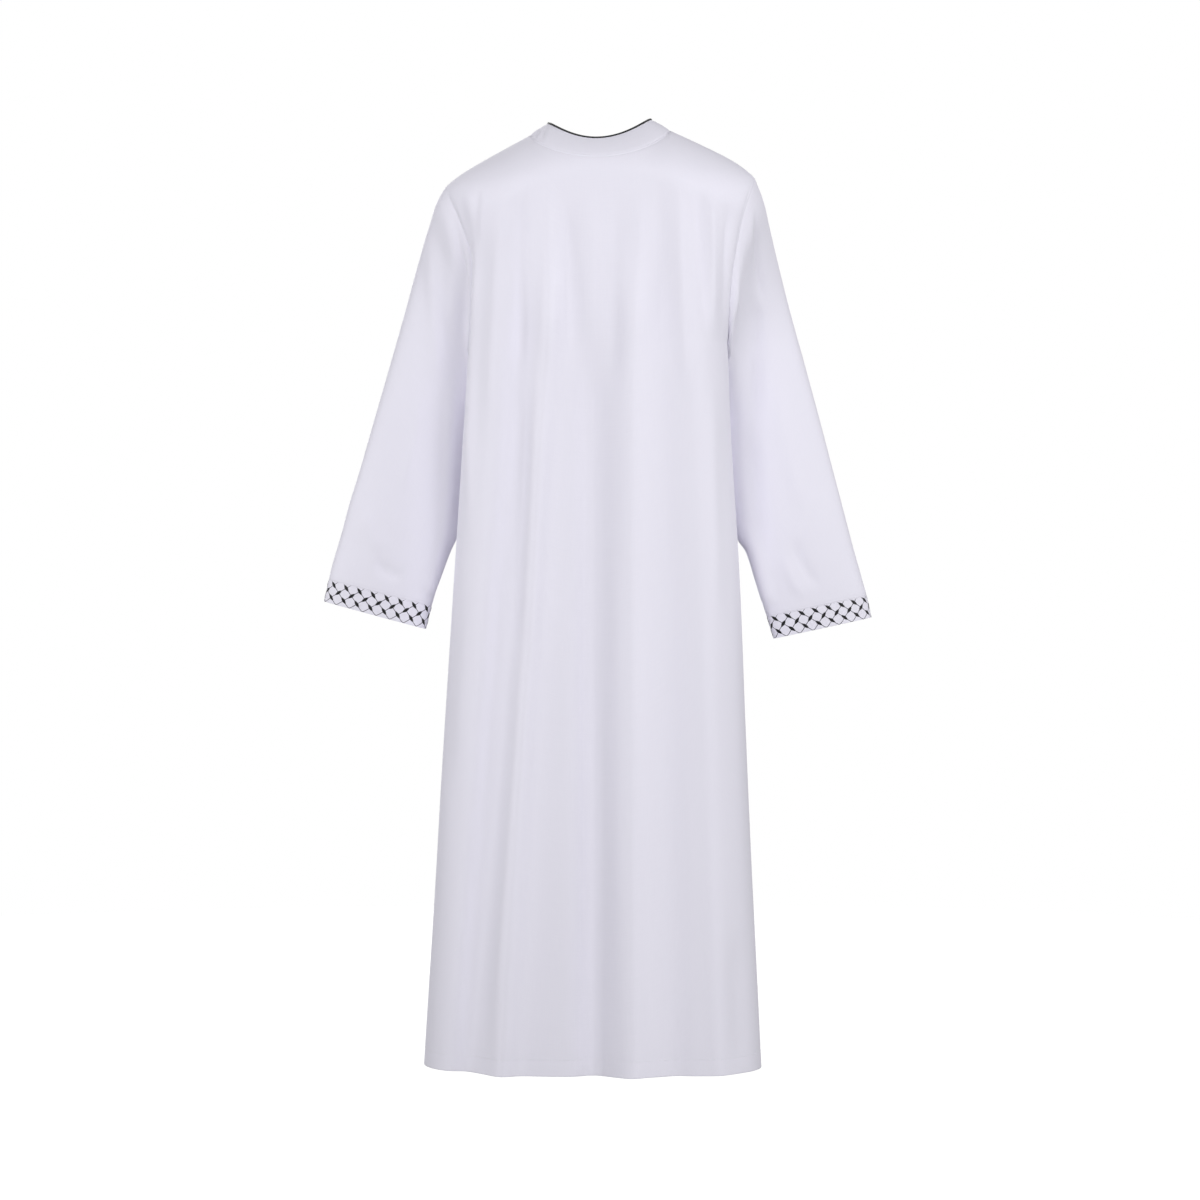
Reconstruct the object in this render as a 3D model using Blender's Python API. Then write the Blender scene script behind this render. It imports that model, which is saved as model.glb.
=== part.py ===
"""A men's thobe robe, worn shape and empty: back, front, two set-in sleeves with bordered cuff bands,
a stand collar with a piped edge, and a buttoned front placket.

Metres, +Z up. The robe's front faces -Y and the wearer's left side is +X. The origin is at the
middle of the neck, level with the shoulder seams' inner ends, where the wearer holds the robe up.

Every piece starts as a grid of points on the robe's outer surface. Pieces that are sewn together
share the points of their seam, and are then drawn apart by SEAM_GAP and given a wall inwards.
"""

import math
from collections import namedtuple

import bpy
import numpy as np

LEFT, RIGHT = 1, -1
BACK, FRONT = 1, -1

# Cloth and seams.
CLOTH_WALL = 0.0015
COLLAR_WALL = 0.0020
SEAM_GAP = 0.0014
LAID_GAP = 0.0016
VALLEY_LEAN = 0.05

# Heights of the robe's levels.
UNDERARM_Z = -0.3135
HEM_Z = -1.391
HEM_RISE_TO_LEFT = 0.008

# How finely each panel is divided.
SHOULDER_COLUMNS = 7
NECK_COLUMNS = 7
UPPER_ROWS = 10
SKIRT_ROWS = 17
COLLAR_ROWS = 3
SLEEVE_ROWS = 13

# A panel's half runs from its side edge, 0, to its middle, 1, and meets the neck at NECK_FROM.
NECK_FROM = SHOULDER_COLUMNS / (SHOULDER_COLUMNS + NECK_COLUMNS)

# The shoulder seam of each side: a straight slope from the neck that rounds off at its outer end.
Shoulder = namedtuple("Shoulder", "neck_x neck_z point_x slope round_off")
SHOULDERS = {
    LEFT: Shoulder(0.0996, 0.0010, 0.2260, 0.550, 0.0080),
    RIGHT: Shoulder(0.1110, 0.0085, 0.2385, 0.468, 0.0125),
}
SHOULDER_SEAM_Y = -0.005
# Where the line of both shoulders, carried on over the neck, would meet.
SHOULDER_CAP_Z = 0.0315

# How low each face's neckline falls in the middle, and the power of its fall from the sides.
NECKLINE_MIDDLE_Z = {BACK: -0.0435, FRONT: -0.0850}
NECKLINE_FALL = 1.3

# The collar's top edge: half width and height at each side, then depth and height at each face.
COLLAR_SIDE_X = {LEFT: 0.0735, RIGHT: 0.0840}
COLLAR_SIDE_Z = {LEFT: 0.0180, RIGHT: 0.0240}
COLLAR_DEPTH = {BACK: 0.0800, FRONT: 0.0640}
COLLAR_MIDDLE_Z = {BACK: -0.0135, FRONT: -0.0560}
COLLAR_BULGE = 0.0020
COLLAR_LAP_COLUMNS = 0.55
PIPING_RADIUS = 0.0019
PIPING_SIDES = 8

# Level sections of the body, by height: half widths of the two sides, depths of the two faces, and
# how round the section is, from a lens with edges at the side seams, below 2, to an ellipse, 2.
BodySection = namedtuple("BodySection", "z left right back front roundness")
BODY = [
    BodySection(0.000, 0.1780, 0.1850, 0.108, 0.098, 2.50),
    BodySection(-0.060, 0.1790, 0.1870, 0.117, 0.108, 2.60),
    BodySection(-0.150, 0.1800, 0.1890, 0.122, 0.114, 2.75),
    BodySection(-0.3135, 0.1884, 0.1971, 0.123, 0.113, 2.75),
    BodySection(-0.450, 0.1985, 0.2025, 0.119, 0.108, 2.70),
    BodySection(-0.621, 0.2100, 0.2130, 0.117, 0.108, 2.70),
    BodySection(-0.846, 0.2240, 0.2225, 0.121, 0.113, 2.65),
    BodySection(-1.146, 0.2420, 0.2355, 0.133, 0.127, 2.60),
    BodySection(HEM_Z, 0.2575, 0.2475, 0.147, 0.141, 2.50),
]

# The front is rounder than the back, so that it leaves the side seams more slowly.
ROUNDNESS_SHARE = {BACK: 1.0, FRONT: 0.80}

# The armhole, from the shoulder point, 0, to the underarm, 1: how far its edge has come sideways
# from the shoulder point to the side of the body at that height.
ArmholeEdge = namedtuple("ArmholeEdge", "down left right")
ARMHOLE = [
    ArmholeEdge(0.00, 0.000, 0.000),
    ArmholeEdge(0.25, 0.553, 0.412),
    ArmholeEdge(0.45, 0.905, 0.634),
    ArmholeEdge(0.72, 0.960, 0.875),
    ArmholeEdge(1.00, 1.000, 1.000),
]
ARMHOLE_DEPTH = {
    (BACK, LEFT): 0.050,
    (BACK, RIGHT): 0.066,
    (FRONT, LEFT): 0.058,
    (FRONT, RIGHT): 0.058,
}

# How the panels round over from the shoulder line, by distance from the robe's middle: the height
# of the bend on each face, and the power that fills it, smaller for a fuller bend.
Bend = namedtuple("Bend", "x back front power")
BENDS = [Bend(0.0, 0.100, 0.170, 0.75), Bend(0.105, 0.096, 0.125, 0.64), Bend(0.235, 0.080, 0.080, 0.52)]

# Long soft folds that hang from the shoulders: positive depths are ridges, negative ones troughs.
Fold = namedtuple("Fold", "face top_x top_z low_x low_z half_width depth")
FOLDS = [
    Fold(BACK, 0.062, -0.15, 0.140, -1.40, 0.020, 0.0115),
    Fold(BACK, 0.100, -0.18, 0.192, -1.40, 0.020, -0.0110),
    Fold(BACK, 0.008, -0.26, 0.003, -1.40, 0.022, -0.0105),
    Fold(BACK, -0.050, -0.14, -0.053, -1.40, 0.020, 0.0085),
    Fold(BACK, -0.094, -0.14, -0.118, -1.40, 0.022, -0.0060),
    Fold(BACK, -0.150, -0.18, -0.186, -1.40, 0.023, 0.0065),
    Fold(FRONT, 0.066, -0.20, 0.090, -1.40, 0.025, -0.0090),
    Fold(FRONT, 0.112, -0.26, 0.150, -1.40, 0.026, 0.0085),
    Fold(FRONT, 0.030, -0.55, 0.034, -1.40, 0.024, 0.0070),
    Fold(FRONT, -0.058, -0.24, -0.052, -1.40, 0.026, -0.0085),
    Fold(FRONT, -0.096, -0.18, -0.118, -1.40, 0.024, 0.0075),
    Fold(FRONT, -0.150, -0.30, -0.182, -1.40, 0.024, -0.0070),
]
FOLD_FADE = 0.15
FOLD_GAIN_TO_HEM = 1.9

# Sections across each sleeve, by share of its length: the ends of the section on the sleeve's
# outer line and on its underarm line, its half depth, and how far its middle is set back.
SleeveSection = namedtuple("SleeveSection", "along outer_x outer_z inner_x inner_z half_depth back_y")
SLEEVES = {
    LEFT: [
        SleeveSection(0.00, 0.2260, -0.0785, 0.1884, -0.3135, 0.060, 0.000),
        SleeveSection(0.05, 0.2385, -0.0990, 0.1925, -0.3240, 0.058, -0.009),
        SleeveSection(0.12, 0.2520, -0.1350, 0.1907, -0.3400, 0.051, -0.034),
        SleeveSection(0.22, 0.2695, -0.1890, 0.1847, -0.3690, 0.046, -0.055),
        SleeveSection(0.34, 0.2900, -0.2610, 0.1832, -0.4140, 0.043, -0.064),
        SleeveSection(0.46, 0.3130, -0.3390, 0.1872, -0.4680, 0.042, -0.067),
        SleeveSection(0.60, 0.3375, -0.4230, 0.1955, -0.5310, 0.041, -0.066),
        SleeveSection(0.74, 0.3630, -0.5130, 0.2105, -0.6000, 0.039, -0.062),
        SleeveSection(0.80, 0.3735, -0.5480, 0.2205, -0.6220, 0.038, -0.060),
        SleeveSection(0.87, 0.3845, -0.5910, 0.2345, -0.6600, 0.036, -0.058),
        SleeveSection(1.00, 0.4050, -0.6645, 0.2490, -0.7040, 0.033, -0.056),
        SleeveSection(1.05, 0.4125, -0.6980, 0.2580, -0.7398, 0.032, -0.056),
    ],
    RIGHT: [
        SleeveSection(0.00, 0.2385, -0.0635, 0.1971, -0.3135, 0.060, 0.000),
        SleeveSection(0.05, 0.2510, -0.0960, 0.2012, -0.3240, 0.058, -0.009),
        SleeveSection(0.12, 0.2620, -0.1335, 0.1990, -0.3400, 0.052, -0.034),
        SleeveSection(0.22, 0.2775, -0.1890, 0.1950, -0.3690, 0.046, -0.061),
        SleeveSection(0.34, 0.2970, -0.2610, 0.1905, -0.4140, 0.042, -0.076),
        SleeveSection(0.46, 0.3185, -0.3390, 0.1905, -0.4680, 0.042, -0.077),
        SleeveSection(0.60, 0.3410, -0.4230, 0.1990, -0.5340, 0.041, -0.072),
        SleeveSection(0.74, 0.3655, -0.5160, 0.2150, -0.6050, 0.039, -0.064),
        SleeveSection(0.80, 0.3755, -0.5540, 0.2275, -0.6240, 0.038, -0.061),
        SleeveSection(0.87, 0.3890, -0.6060, 0.2415, -0.6680, 0.036, -0.058),
        SleeveSection(1.00, 0.4110, -0.6885, 0.2580, -0.7200, 0.033, -0.056),
        SleeveSection(1.05, 0.4185, -0.7222, 0.2685, -0.7542, 0.032, -0.056),
    ],
}
CUFF_END = 1.05
# The power that fills a sleeve's section: 1 is an ellipse, and less is fuller near both lines.
SLEEVE_FULLNESS = 0.68
# How much each sleeve's section leans: the outer line lies this far forward, and the inner one back.
SLEEVE_LEAN = {LEFT: 0.000, RIGHT: 0.012}
ARMHOLE_FADE = 0.40

# The front opening, hidden under its placket.
PLACKET_HALF_COLUMNS = 0.72
PLACKET_UPPER_ROWS = 10
PLACKET_SKIRT_ROWS = 2
PLACKET_WALL = 0.0015
BUTTON_RADIUS = 0.0055
BUTTON_HEIGHT = 0.0022
BUTTON_SIDES = 20
BUTTON_ROWS = (2.5, 5.6, 8.4)

# Colours as sRGB hex, with roughness.
WHITE_COTTON = ("white_cotton", "DEDCE7", 0.85)
BORDERED_COTTON = ("bordered_cotton", "C9C8D2", 0.85)
BLACK_PIPING = ("black_piping", "0B0B0E", 0.6)
PEARL_WHITE = ("pearl_white_button", "ECEAF0", 0.3)


def read_table(rows, column, at):
    """One column of a table read at the values of its first column, as a smooth curve."""
    ordered = sorted(rows)
    keys = np.array([row[0] for row in ordered])
    values = np.array([getattr(row, column) for row in ordered])
    slopes = np.gradient(values, keys)
    at = np.clip(at, keys[0], keys[-1])
    i = np.clip(np.searchsorted(keys, at) - 1, 0, len(keys) - 2)
    span = keys[i + 1] - keys[i]
    t = (at - keys[i]) / span
    start = values[i] * (1 + 2 * t) * (1 - t) ** 2 + slopes[i] * span * t * (1 - t) ** 2
    end = values[i + 1] * t * t * (3 - 2 * t) + slopes[i + 1] * span * t * t * (t - 1)
    return start + end


def smooth_step(value):
    value = np.clip(value, 0.0, 1.0)
    return value * value * (3 - 2 * value)


def side_name(side):
    return "left" if side == LEFT else "right"


def shoulder_height(side, x):
    """Height of the shoulder line at x from the middle: a cap over the neck, then the seam's slope."""
    seam = SHOULDERS[side]
    along = np.clip((x - seam.neck_x) / (seam.point_x - seam.neck_x), 0, 1)
    inwards = 1 - (x / seam.neck_x) ** 2
    rise = seam.slope * seam.neck_x / 2
    cap = rise * inwards + (SHOULDER_CAP_Z - seam.neck_z - rise) * inwards**2
    slope = -seam.slope * (x - seam.neck_x) - seam.round_off * along**6
    return seam.neck_z + np.where(x < seam.neck_x, cap, slope)


def top_edge(side, face, across):
    """Distance from the middle, and height, of the panel's top edge: shoulder seam, then neckline."""
    seam = SHOULDERS[side]
    along = np.clip(across / NECK_FROM, 0, 1)
    turn = np.clip((across - NECK_FROM) / (1 - NECK_FROM), 0, 1) * math.pi / 2
    x = (seam.point_x + (seam.neck_x - seam.point_x) * along) * np.cos(turn)
    seam_z = shoulder_height(side, np.maximum(x, seam.neck_x))
    return x, seam_z + (NECKLINE_MIDDLE_Z[face] - seam.neck_z) * np.sin(turn) ** NECKLINE_FALL


def fold_depth(face, x, z):
    """How far the long folds move the face out at a point."""
    total = np.zeros(np.broadcast(x, z).shape)
    for fold in FOLDS:
        if fold.face != face:
            continue
        down = (fold.top_z - z) / (fold.top_z - fold.low_z)
        middle = fold.top_x + (fold.low_x - fold.top_x) * np.clip(down, 0, 1)
        strength = smooth_step((fold.top_z - z) / FOLD_FADE) * (1 + (FOLD_GAIN_TO_HEM - 1) * down)
        total = total + fold.depth * strength * np.exp(-(((x - middle) / fold.half_width) ** 2))
    return total


def body_points(side, face, across, down):
    """Points of half a panel. across: 0 side edge, 1 middle. down: 0 top, 1 underarm, 2 hem."""
    face_name = "back" if face == BACK else "front"
    top_x, top_z = top_edge(side, face, across)
    upper = np.clip(down, 0, 1) ** 1.35
    lower = np.clip(down - 1, 0, 1)
    z = top_z + (UNDERARM_Z - top_z) * upper + (HEM_Z - UNDERARM_Z) * lower

    # Sideways, a point runs from the top edge to its share of the section at the underarm.
    point_x = SHOULDERS[side].point_x
    point_z = shoulder_height(side, point_x)
    armhole_down = np.clip((point_z - z) / (point_z - UNDERARM_Z), 0, 1)
    armhole_in = read_table(ARMHOLE, side_name(side), armhole_down)
    roundness = read_table(BODY, "roundness", z) * ROUNDNESS_SHARE[face]
    section_x = read_table(BODY, side_name(side), z)
    share_x = np.cos(across * math.pi / 2) ** (2 / roundness)
    x = np.where(down <= 1, top_x + (section_x * share_x - top_x) * armhole_in, section_x * share_x)

    # The level section there: as wide as the body below the underarm, cut by the armhole above it.
    depth = read_table(BODY, face_name, z)
    edge_x = point_x + (section_x - point_x) * armhole_in
    edge_y = ARMHOLE_DEPTH[face, side] * np.sqrt(np.clip(1 - armhole_down**3.4, 0, 1))
    cut_width = edge_x / (1 - (edge_y / depth) ** roundness) ** (1 / roundness)
    half_width = np.where(down <= 1, cut_width, section_x)
    inside = np.clip(1 - (x / half_width) ** roundness, 0, 1)
    full_y = depth * inside ** (1 / roundness)

    # It rounds over towards the shoulder line.
    bend = np.clip((shoulder_height(side, x) - z) / read_table(BENDS, face_name, x), 0, 1)
    over = np.sin(math.pi / 2 * bend) ** read_table(BENDS, "power", x)
    folded = fold_depth(face, side * x, z) * (full_y / depth) * over
    y = SHOULDER_SEAM_Y + (face * (full_y + folded) - SHOULDER_SEAM_Y) * over
    tilt = HEM_RISE_TO_LEFT * side * x * lower
    return np.stack(np.broadcast_arrays(side * x, y, z + tilt), axis=-1)


def panel_grid(face):
    """Rows from the top edge to the hem, columns from the left side edge to the right one."""
    half_columns = SHOULDER_COLUMNS + NECK_COLUMNS
    across = np.linspace(0, 1, half_columns + 1)[None, :]
    upper = np.linspace(0, 1, UPPER_ROWS + 1)
    lower = np.linspace(1, 2, SKIRT_ROWS + 1)[1:]
    down = np.concatenate([upper, lower])[:, None]
    left = body_points(LEFT, face, across, down)
    right = body_points(RIGHT, face, across, down)
    return np.concatenate([left, right[:, -2::-1]], axis=1)


def armhole_loop(back, front, side):
    """The armhole's shared points: from the shoulder point down the back, then up the front."""
    column = 0 if side == LEFT else -1
    down_back = back[: UPPER_ROWS + 1, column]
    up_front = front[UPPER_ROWS - 1 : 0 : -1, column]
    return np.concatenate([down_back, up_front])


def sleeve_ring(side, along, count):
    """One section of a sleeve, from its outer line round the back to the underarm line."""
    rows = SLEEVES[side]
    outer_x, outer_z, inner_x, inner_z, half_depth, back_y = (
        read_table(rows, column, along) for column in SleeveSection._fields[1:]
    )
    turn = np.arange(count) * 2 * math.pi / count
    reach = np.cos(turn)
    x = (outer_x + inner_x) / 2 + (outer_x - inner_x) / 2 * reach
    z = (outer_z + inner_z) / 2 + (outer_z - inner_z) / 2 * reach
    bulge = half_depth * np.sign(np.sin(turn)) * np.abs(np.sin(turn)) ** SLEEVE_FULLNESS
    y = back_y - SLEEVE_LEAN[side] * reach + bulge
    return np.stack([side * x, y, z], axis=-1)


def sleeve_grid(side, armhole):
    """Rings from the armhole to the cuff's lower edge: the sleeve's rows, then the cuff's two."""
    count = len(armhole)
    start = sleeve_ring(side, 0.0, count)
    stations = np.linspace(0, 1, SLEEVE_ROWS + 1) ** 1.15
    rings = []
    for along in [*stations, CUFF_END]:
        fade = np.clip(1 - along / ARMHOLE_FADE, 0, 1) ** 2
        rings.append(sleeve_ring(side, along, count) + (armhole - start) * fade)
    return np.array(rings)


def neck_loop(back, front):
    """The neckline's shared points, from the middle front round the left side and the back."""
    first, middle, last = SHOULDER_COLUMNS, SHOULDER_COLUMNS + NECK_COLUMNS, -SHOULDER_COLUMNS - 1
    left_front = front[0, middle:first:-1]
    whole_back = back[0, first:last]
    right_front = front[0, last : middle - 1 : -1]
    return np.concatenate([left_front, whole_back, right_front])


def read_between(points, place):
    """A point on the straight lines that join a row of points."""
    low = int(math.floor(place))
    low = min(max(low, 0), len(points) - 2)
    share = place - low
    return points[low] * (1 - share) + points[low + 1] * share


def collar_top(count):
    """The collar's upper edge, with the neckline's count of points and in its order."""
    turn = np.arange(count) * 2 * math.pi / (count - 1) - math.pi / 2
    points = []
    for angle in turn:
        side = LEFT if math.cos(angle) >= 0 else RIGHT
        face = BACK if math.sin(angle) >= 0 else FRONT
        dip = math.sin(angle) ** 2
        x = side * COLLAR_SIDE_X[side] * abs(math.cos(angle))
        y = SHOULDER_SEAM_Y + face * COLLAR_DEPTH[face] * abs(math.sin(angle))
        z = COLLAR_SIDE_Z[side] * (1 - dip) + COLLAR_MIDDLE_Z[face] * dip
        points.append((x, y, z))
    return np.array(points)


def collar_grid(neckline):
    """Rows from the neckline to the top edge, columns from one lapped end round to the other."""
    count = len(neckline)
    upper = collar_top(count)
    places = [-COLLAR_LAP_COLUMNS, *range(count - 1), count - 1 - COLLAR_LAP_COLUMNS]
    closed_low = np.concatenate([neckline[-2:-1], neckline])
    closed_high = np.concatenate([upper[-2:-1], upper])
    rows = []
    for share in np.linspace(0, 1, COLLAR_ROWS + 1):
        row = []
        for place in places:
            low = read_between(closed_low, place + 1)
            high = read_between(closed_high, place + 1)
            point = low * (1 - share) + high * share
            outwards = np.array([point[0], point[1] - SHOULDER_SEAM_Y, 0.0])
            outwards /= np.linalg.norm(outwards)
            row.append(point + outwards * COLLAR_BULGE * math.sin(math.pi * share))
        rows.append(row)
    return np.array(rows)


def grid_faces(rows, columns, closed):
    """Index quads of a grid, rows by columns, joined round its columns if it is closed."""
    faces = []
    for i in range(rows - 1):
        for j in range(columns if closed else columns - 1):
            k = (j + 1) % columns
            faces.append((i * columns + j, (i + 1) * columns + j, (i + 1) * columns + k, i * columns + k))
    return faces


class Sheet:
    """A grid of points on the robe's outside, with the way each of its seam points faces."""

    def __init__(self, grid, closed, wall, outwards_sign):
        self.grid = grid
        self.closed = closed
        self.wall = wall
        self.sign = outwards_sign

    def corner_normals(self):
        """Each point's normal, from the quads that meet there, weighted by their angles."""
        grid = self.grid
        total = np.zeros_like(grid)
        rows, columns = grid.shape[:2]
        for i in range(rows - 1):
            for j in range(columns if self.closed else columns - 1):
                k = (j + 1) % columns
                corners = [(i, j), (i + 1, j), (i + 1, k), (i, k)]
                points = [grid[c] for c in corners]
                for c in range(4):
                    ahead = points[(c + 1) % 4] - points[c]
                    behind = points[(c + 3) % 4] - points[c]
                    normal = np.cross(ahead, behind)
                    sine = np.linalg.norm(normal)
                    if sine > 1e-12:
                        angle = math.atan2(sine, float(np.dot(ahead, behind)))
                        total[corners[c]] += normal / sine * angle * self.sign
        return total

    def inward_steps(self):
        """For each edge point, the unit way from the edge into the sheet; zero inside the sheet."""
        grid = self.grid
        steps = np.zeros_like(grid)
        steps[0] += unit(grid[1] - grid[0])
        steps[-1] += unit(grid[-2] - grid[-1])
        if not self.closed:
            steps[:, 0] += unit(grid[:, 1] - grid[:, 0])
            steps[:, -1] += unit(grid[:, -2] - grid[:, -1])
        return steps


def unit(vectors):
    lengths = np.linalg.norm(vectors, axis=-1, keepdims=True)
    return vectors / np.maximum(lengths, 1e-12)


def key_of(point):
    return tuple(np.round(point * 1e6).astype(int))


def join_sheets(sheets):
    """Gives each sheet the normals that it shares at its seams, and draws its edges apart.

    Where a seam lies in a valley the walls lean apart by themselves, and each keeps its own normal.
    """
    normals = {name: sheet.corner_normals() for name, sheet in sheets.items()}
    steps = {name: sheet.inward_steps() for name, sheet in sheets.items()}
    shared = {}
    for name, sheet in sheets.items():
        for place in np.ndindex(sheet.grid.shape[:2]):
            shared.setdefault(key_of(sheet.grid[place]), []).append((name, place))
    joined = {name: (sheet.grid.copy(), unit(normals[name])) for name, sheet in sheets.items()}
    for users in shared.values():
        normal = unit(sum(normals[name][place] for name, place in users))
        for name, place in users:
            points, directions = joined[name]
            others = [steps[other][spot] for other, spot in users if (other, spot) != (name, place)]
            in_valley = np.dot(normal, unit(steps[name][place])) > VALLEY_LEAN
            if not in_valley:
                directions[place] = normal
            if others:
                apart = unit(unit(steps[name][place]) - unit(sum(unit(other) for other in others)))
                points[place] = points[place] + apart * SEAM_GAP / 2
    return joined


def wall_mesh(outer, inner, closed, sign):
    """A closed wall between an outer and an inner grid of the same size.

    The rim's quads are halved the same way on both sheets of a seam, by height, so that they don't cross.
    """
    rows, columns = outer.shape[:2]
    count = rows * columns
    points = np.concatenate([outer.reshape(-1, 3), inner.reshape(-1, 3)])
    front = grid_faces(rows, columns, closed)
    faces = list(front) + [tuple(v + count for v in reversed(face)) for face in front]
    rim = [(0, j) for j in range(columns)]
    foot = [(rows - 1, j) for j in range(columns)]
    edges = [(rim, True), (foot, False)]
    if closed:
        edges = [(edge + edge[:1], way) for edge, way in edges]
    else:
        edges.append(([(i, 0) for i in range(rows)], False))
        edges.append(([(i, columns - 1) for i in range(rows)], True))
    for edge, way in edges:
        for (i, j), (k, m) in zip(edge, edge[1:]):
            a, b = i * columns + j, k * columns + m
            if points[a][2] > points[b][2]:
                halves = [(a, b, b + count), (a, b + count, a + count)]
            else:
                halves = [(a, b, a + count), (b, b + count, a + count)]
            faces.extend(half if way else half[::-1] for half in halves)
    if sign < 0:
        faces = [face[::-1] for face in faces]
    return points, faces


def make_material(name, hex_colour, roughness):
    channels = [int(hex_colour[i : i + 2], 16) / 255 for i in (0, 2, 4)]
    linear = [c / 12.92 if c <= 0.04045 else ((c + 0.055) / 1.055) ** 2.4 for c in channels]
    material = bpy.data.materials.get(name) or bpy.data.materials.new(name)
    material.use_nodes = True
    shader = material.node_tree.nodes["Principled BSDF"]
    shader.inputs["Base Color"].default_value = (*linear, 1.0)
    shader.inputs["Roughness"].default_value = roughness
    shader.inputs["Metallic"].default_value = 0.0
    material.diffuse_color = (*linear, 1.0)
    return material


def add_object(name, points, faces, finish):
    mesh = bpy.data.meshes.new(name)
    mesh.from_pydata([tuple(point) for point in points], [], faces)
    mesh.materials.append(make_material(*finish))
    mesh.shade_smooth()
    mesh.set_sharp_from_angle(angle=math.radians(50))
    piece = bpy.data.objects.new(name, mesh)
    bpy.context.scene.collection.objects.link(piece)
    return piece


def add_sheet(name, sheet, points, normals, finish):
    inner = points - normals * sheet.wall
    add_object(name, *wall_mesh(points, inner, sheet.closed, sheet.sign), finish)


def tube_mesh(path, radius, sides):
    """A tube with flat ends along a path of points."""
    ahead = unit(np.gradient(path, axis=0))
    up = np.array([0.0, 0.0, 1.0])
    sideways = unit(np.cross(ahead, up))
    lift = unit(np.cross(sideways, ahead))
    turn = np.arange(sides) * 2 * math.pi / sides
    ring = sideways[:, None] * np.cos(turn)[None, :, None] + lift[:, None] * np.sin(turn)[None, :, None]
    points = path[:, None] + ring * radius
    faces = grid_faces(len(path), sides, True)
    last = (len(path) - 1) * sides
    faces.append(tuple(range(sides)))
    faces.append(tuple(last + k for k in reversed(range(sides))))
    return points.reshape(-1, 3), faces


def add_piping(collar_points, collar_normals):
    """A cord that sits on the collar's top edge."""
    edge = collar_points[-1] - collar_normals[-1] * COLLAR_WALL / 2
    rise = unit(collar_points[-1] - collar_points[-2])
    path = edge + rise * (PIPING_RADIUS + LAID_GAP)
    points, faces = tube_mesh(path, PIPING_RADIUS, PIPING_SIDES)
    add_object("collar_piping", points, faces, BLACK_PIPING)


def read_row(grid, row, column):
    """A point of a grid at a part of a row and of a column, on the lines between its points."""
    low = min(int(math.floor(row)), len(grid) - 2)
    share = row - low
    return read_between(grid[low], column) * (1 - share) + read_between(grid[low + 1], column) * share


def add_placket(points, normals):
    """The strip that covers the front opening, laid on the front panel's middle columns."""
    middle = SHOULDER_COLUMNS + NECK_COLUMNS
    columns = [middle - PLACKET_HALF_COLUMNS, middle, middle + PLACKET_HALF_COLUMNS]
    rows = range(PLACKET_UPPER_ROWS + PLACKET_SKIRT_ROWS + 1)
    under = np.array([[read_between(points[i], c) for c in columns] for i in rows])
    out = unit(np.array([[read_between(normals[i], c) for c in columns] for i in rows]))
    under = under + out * LAID_GAP
    under[0] = under[0] + unit(under[1] - under[0]) * SEAM_GAP
    outer = under + out * PLACKET_WALL
    add_object("placket", *wall_mesh(outer, under, False, -1), WHITE_COTTON)
    return outer, out


def add_button(name, seat, facing):
    """A flat round button standing off its seat by the gap of touching pieces."""
    facing = unit(facing)
    across = unit(np.cross(facing, np.array([0.0, 0.0, 1.0])))
    upwards = np.cross(across, facing)
    base = seat + facing * LAID_GAP
    path_turn = np.arange(BUTTON_SIDES) * 2 * math.pi / BUTTON_SIDES
    ring = across * np.cos(path_turn)[:, None] + upwards * np.sin(path_turn)[:, None]
    levels = [(0.80, 0.0), (1.0, 0.25), (1.0, 0.75), (0.85, 1.0)]
    points = []
    for width, height in levels:
        points.extend(base + ring * BUTTON_RADIUS * width + facing * BUTTON_HEIGHT * height)
    faces = list(grid_faces(len(levels), BUTTON_SIDES, True))
    last = (len(levels) - 1) * BUTTON_SIDES
    faces.append(tuple(range(BUTTON_SIDES)))
    faces.append(tuple(last + k for k in reversed(range(BUTTON_SIDES))))
    add_object(name, points, faces, PEARL_WHITE)


def main():
    for item in list(bpy.data.objects):
        bpy.data.objects.remove(item, do_unlink=True)

    back = panel_grid(BACK)
    front = panel_grid(FRONT)
    collar = collar_grid(neck_loop(back, front))
    sheets = {
        "back_panel": Sheet(back, False, CLOTH_WALL, 1),
        "front_panel": Sheet(front, False, CLOTH_WALL, -1),
        "collar": Sheet(collar, False, COLLAR_WALL, -1),
    }
    for side in (LEFT, RIGHT):
        rings = sleeve_grid(side, armhole_loop(back, front, side))
        sheets[f"sleeve_{side_name(side)}"] = Sheet(rings[:-1], True, CLOTH_WALL, side)
        sheets[f"cuff_{side_name(side)}"] = Sheet(rings[-2:], True, CLOTH_WALL, side)

    joined = join_sheets(sheets)
    for name, sheet in sheets.items():
        finish = BORDERED_COTTON if name.startswith("cuff") else WHITE_COTTON
        add_sheet(name, sheet, *joined[name], finish)

    add_piping(*joined["collar"])
    placket, placket_out = add_placket(*joined["front_panel"])
    for number, row in enumerate(BUTTON_ROWS, start=1):
        add_button(f"button_{number}", read_row(placket, row, 1), read_row(placket_out, row, 1))
    collar_points, collar_out = joined["collar"]
    add_button("button_collar", read_row(collar_points, 1.5, 1), read_row(collar_out, 1.5, 1))


main()
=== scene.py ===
"""A white cotton thobe robe in its worn shape: cloth shells on the frame, with folds, creases, seams,
topstitching, a black-piped stand collar and net-bordered cuffs."""

from collections import namedtuple
from math import pi

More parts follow.
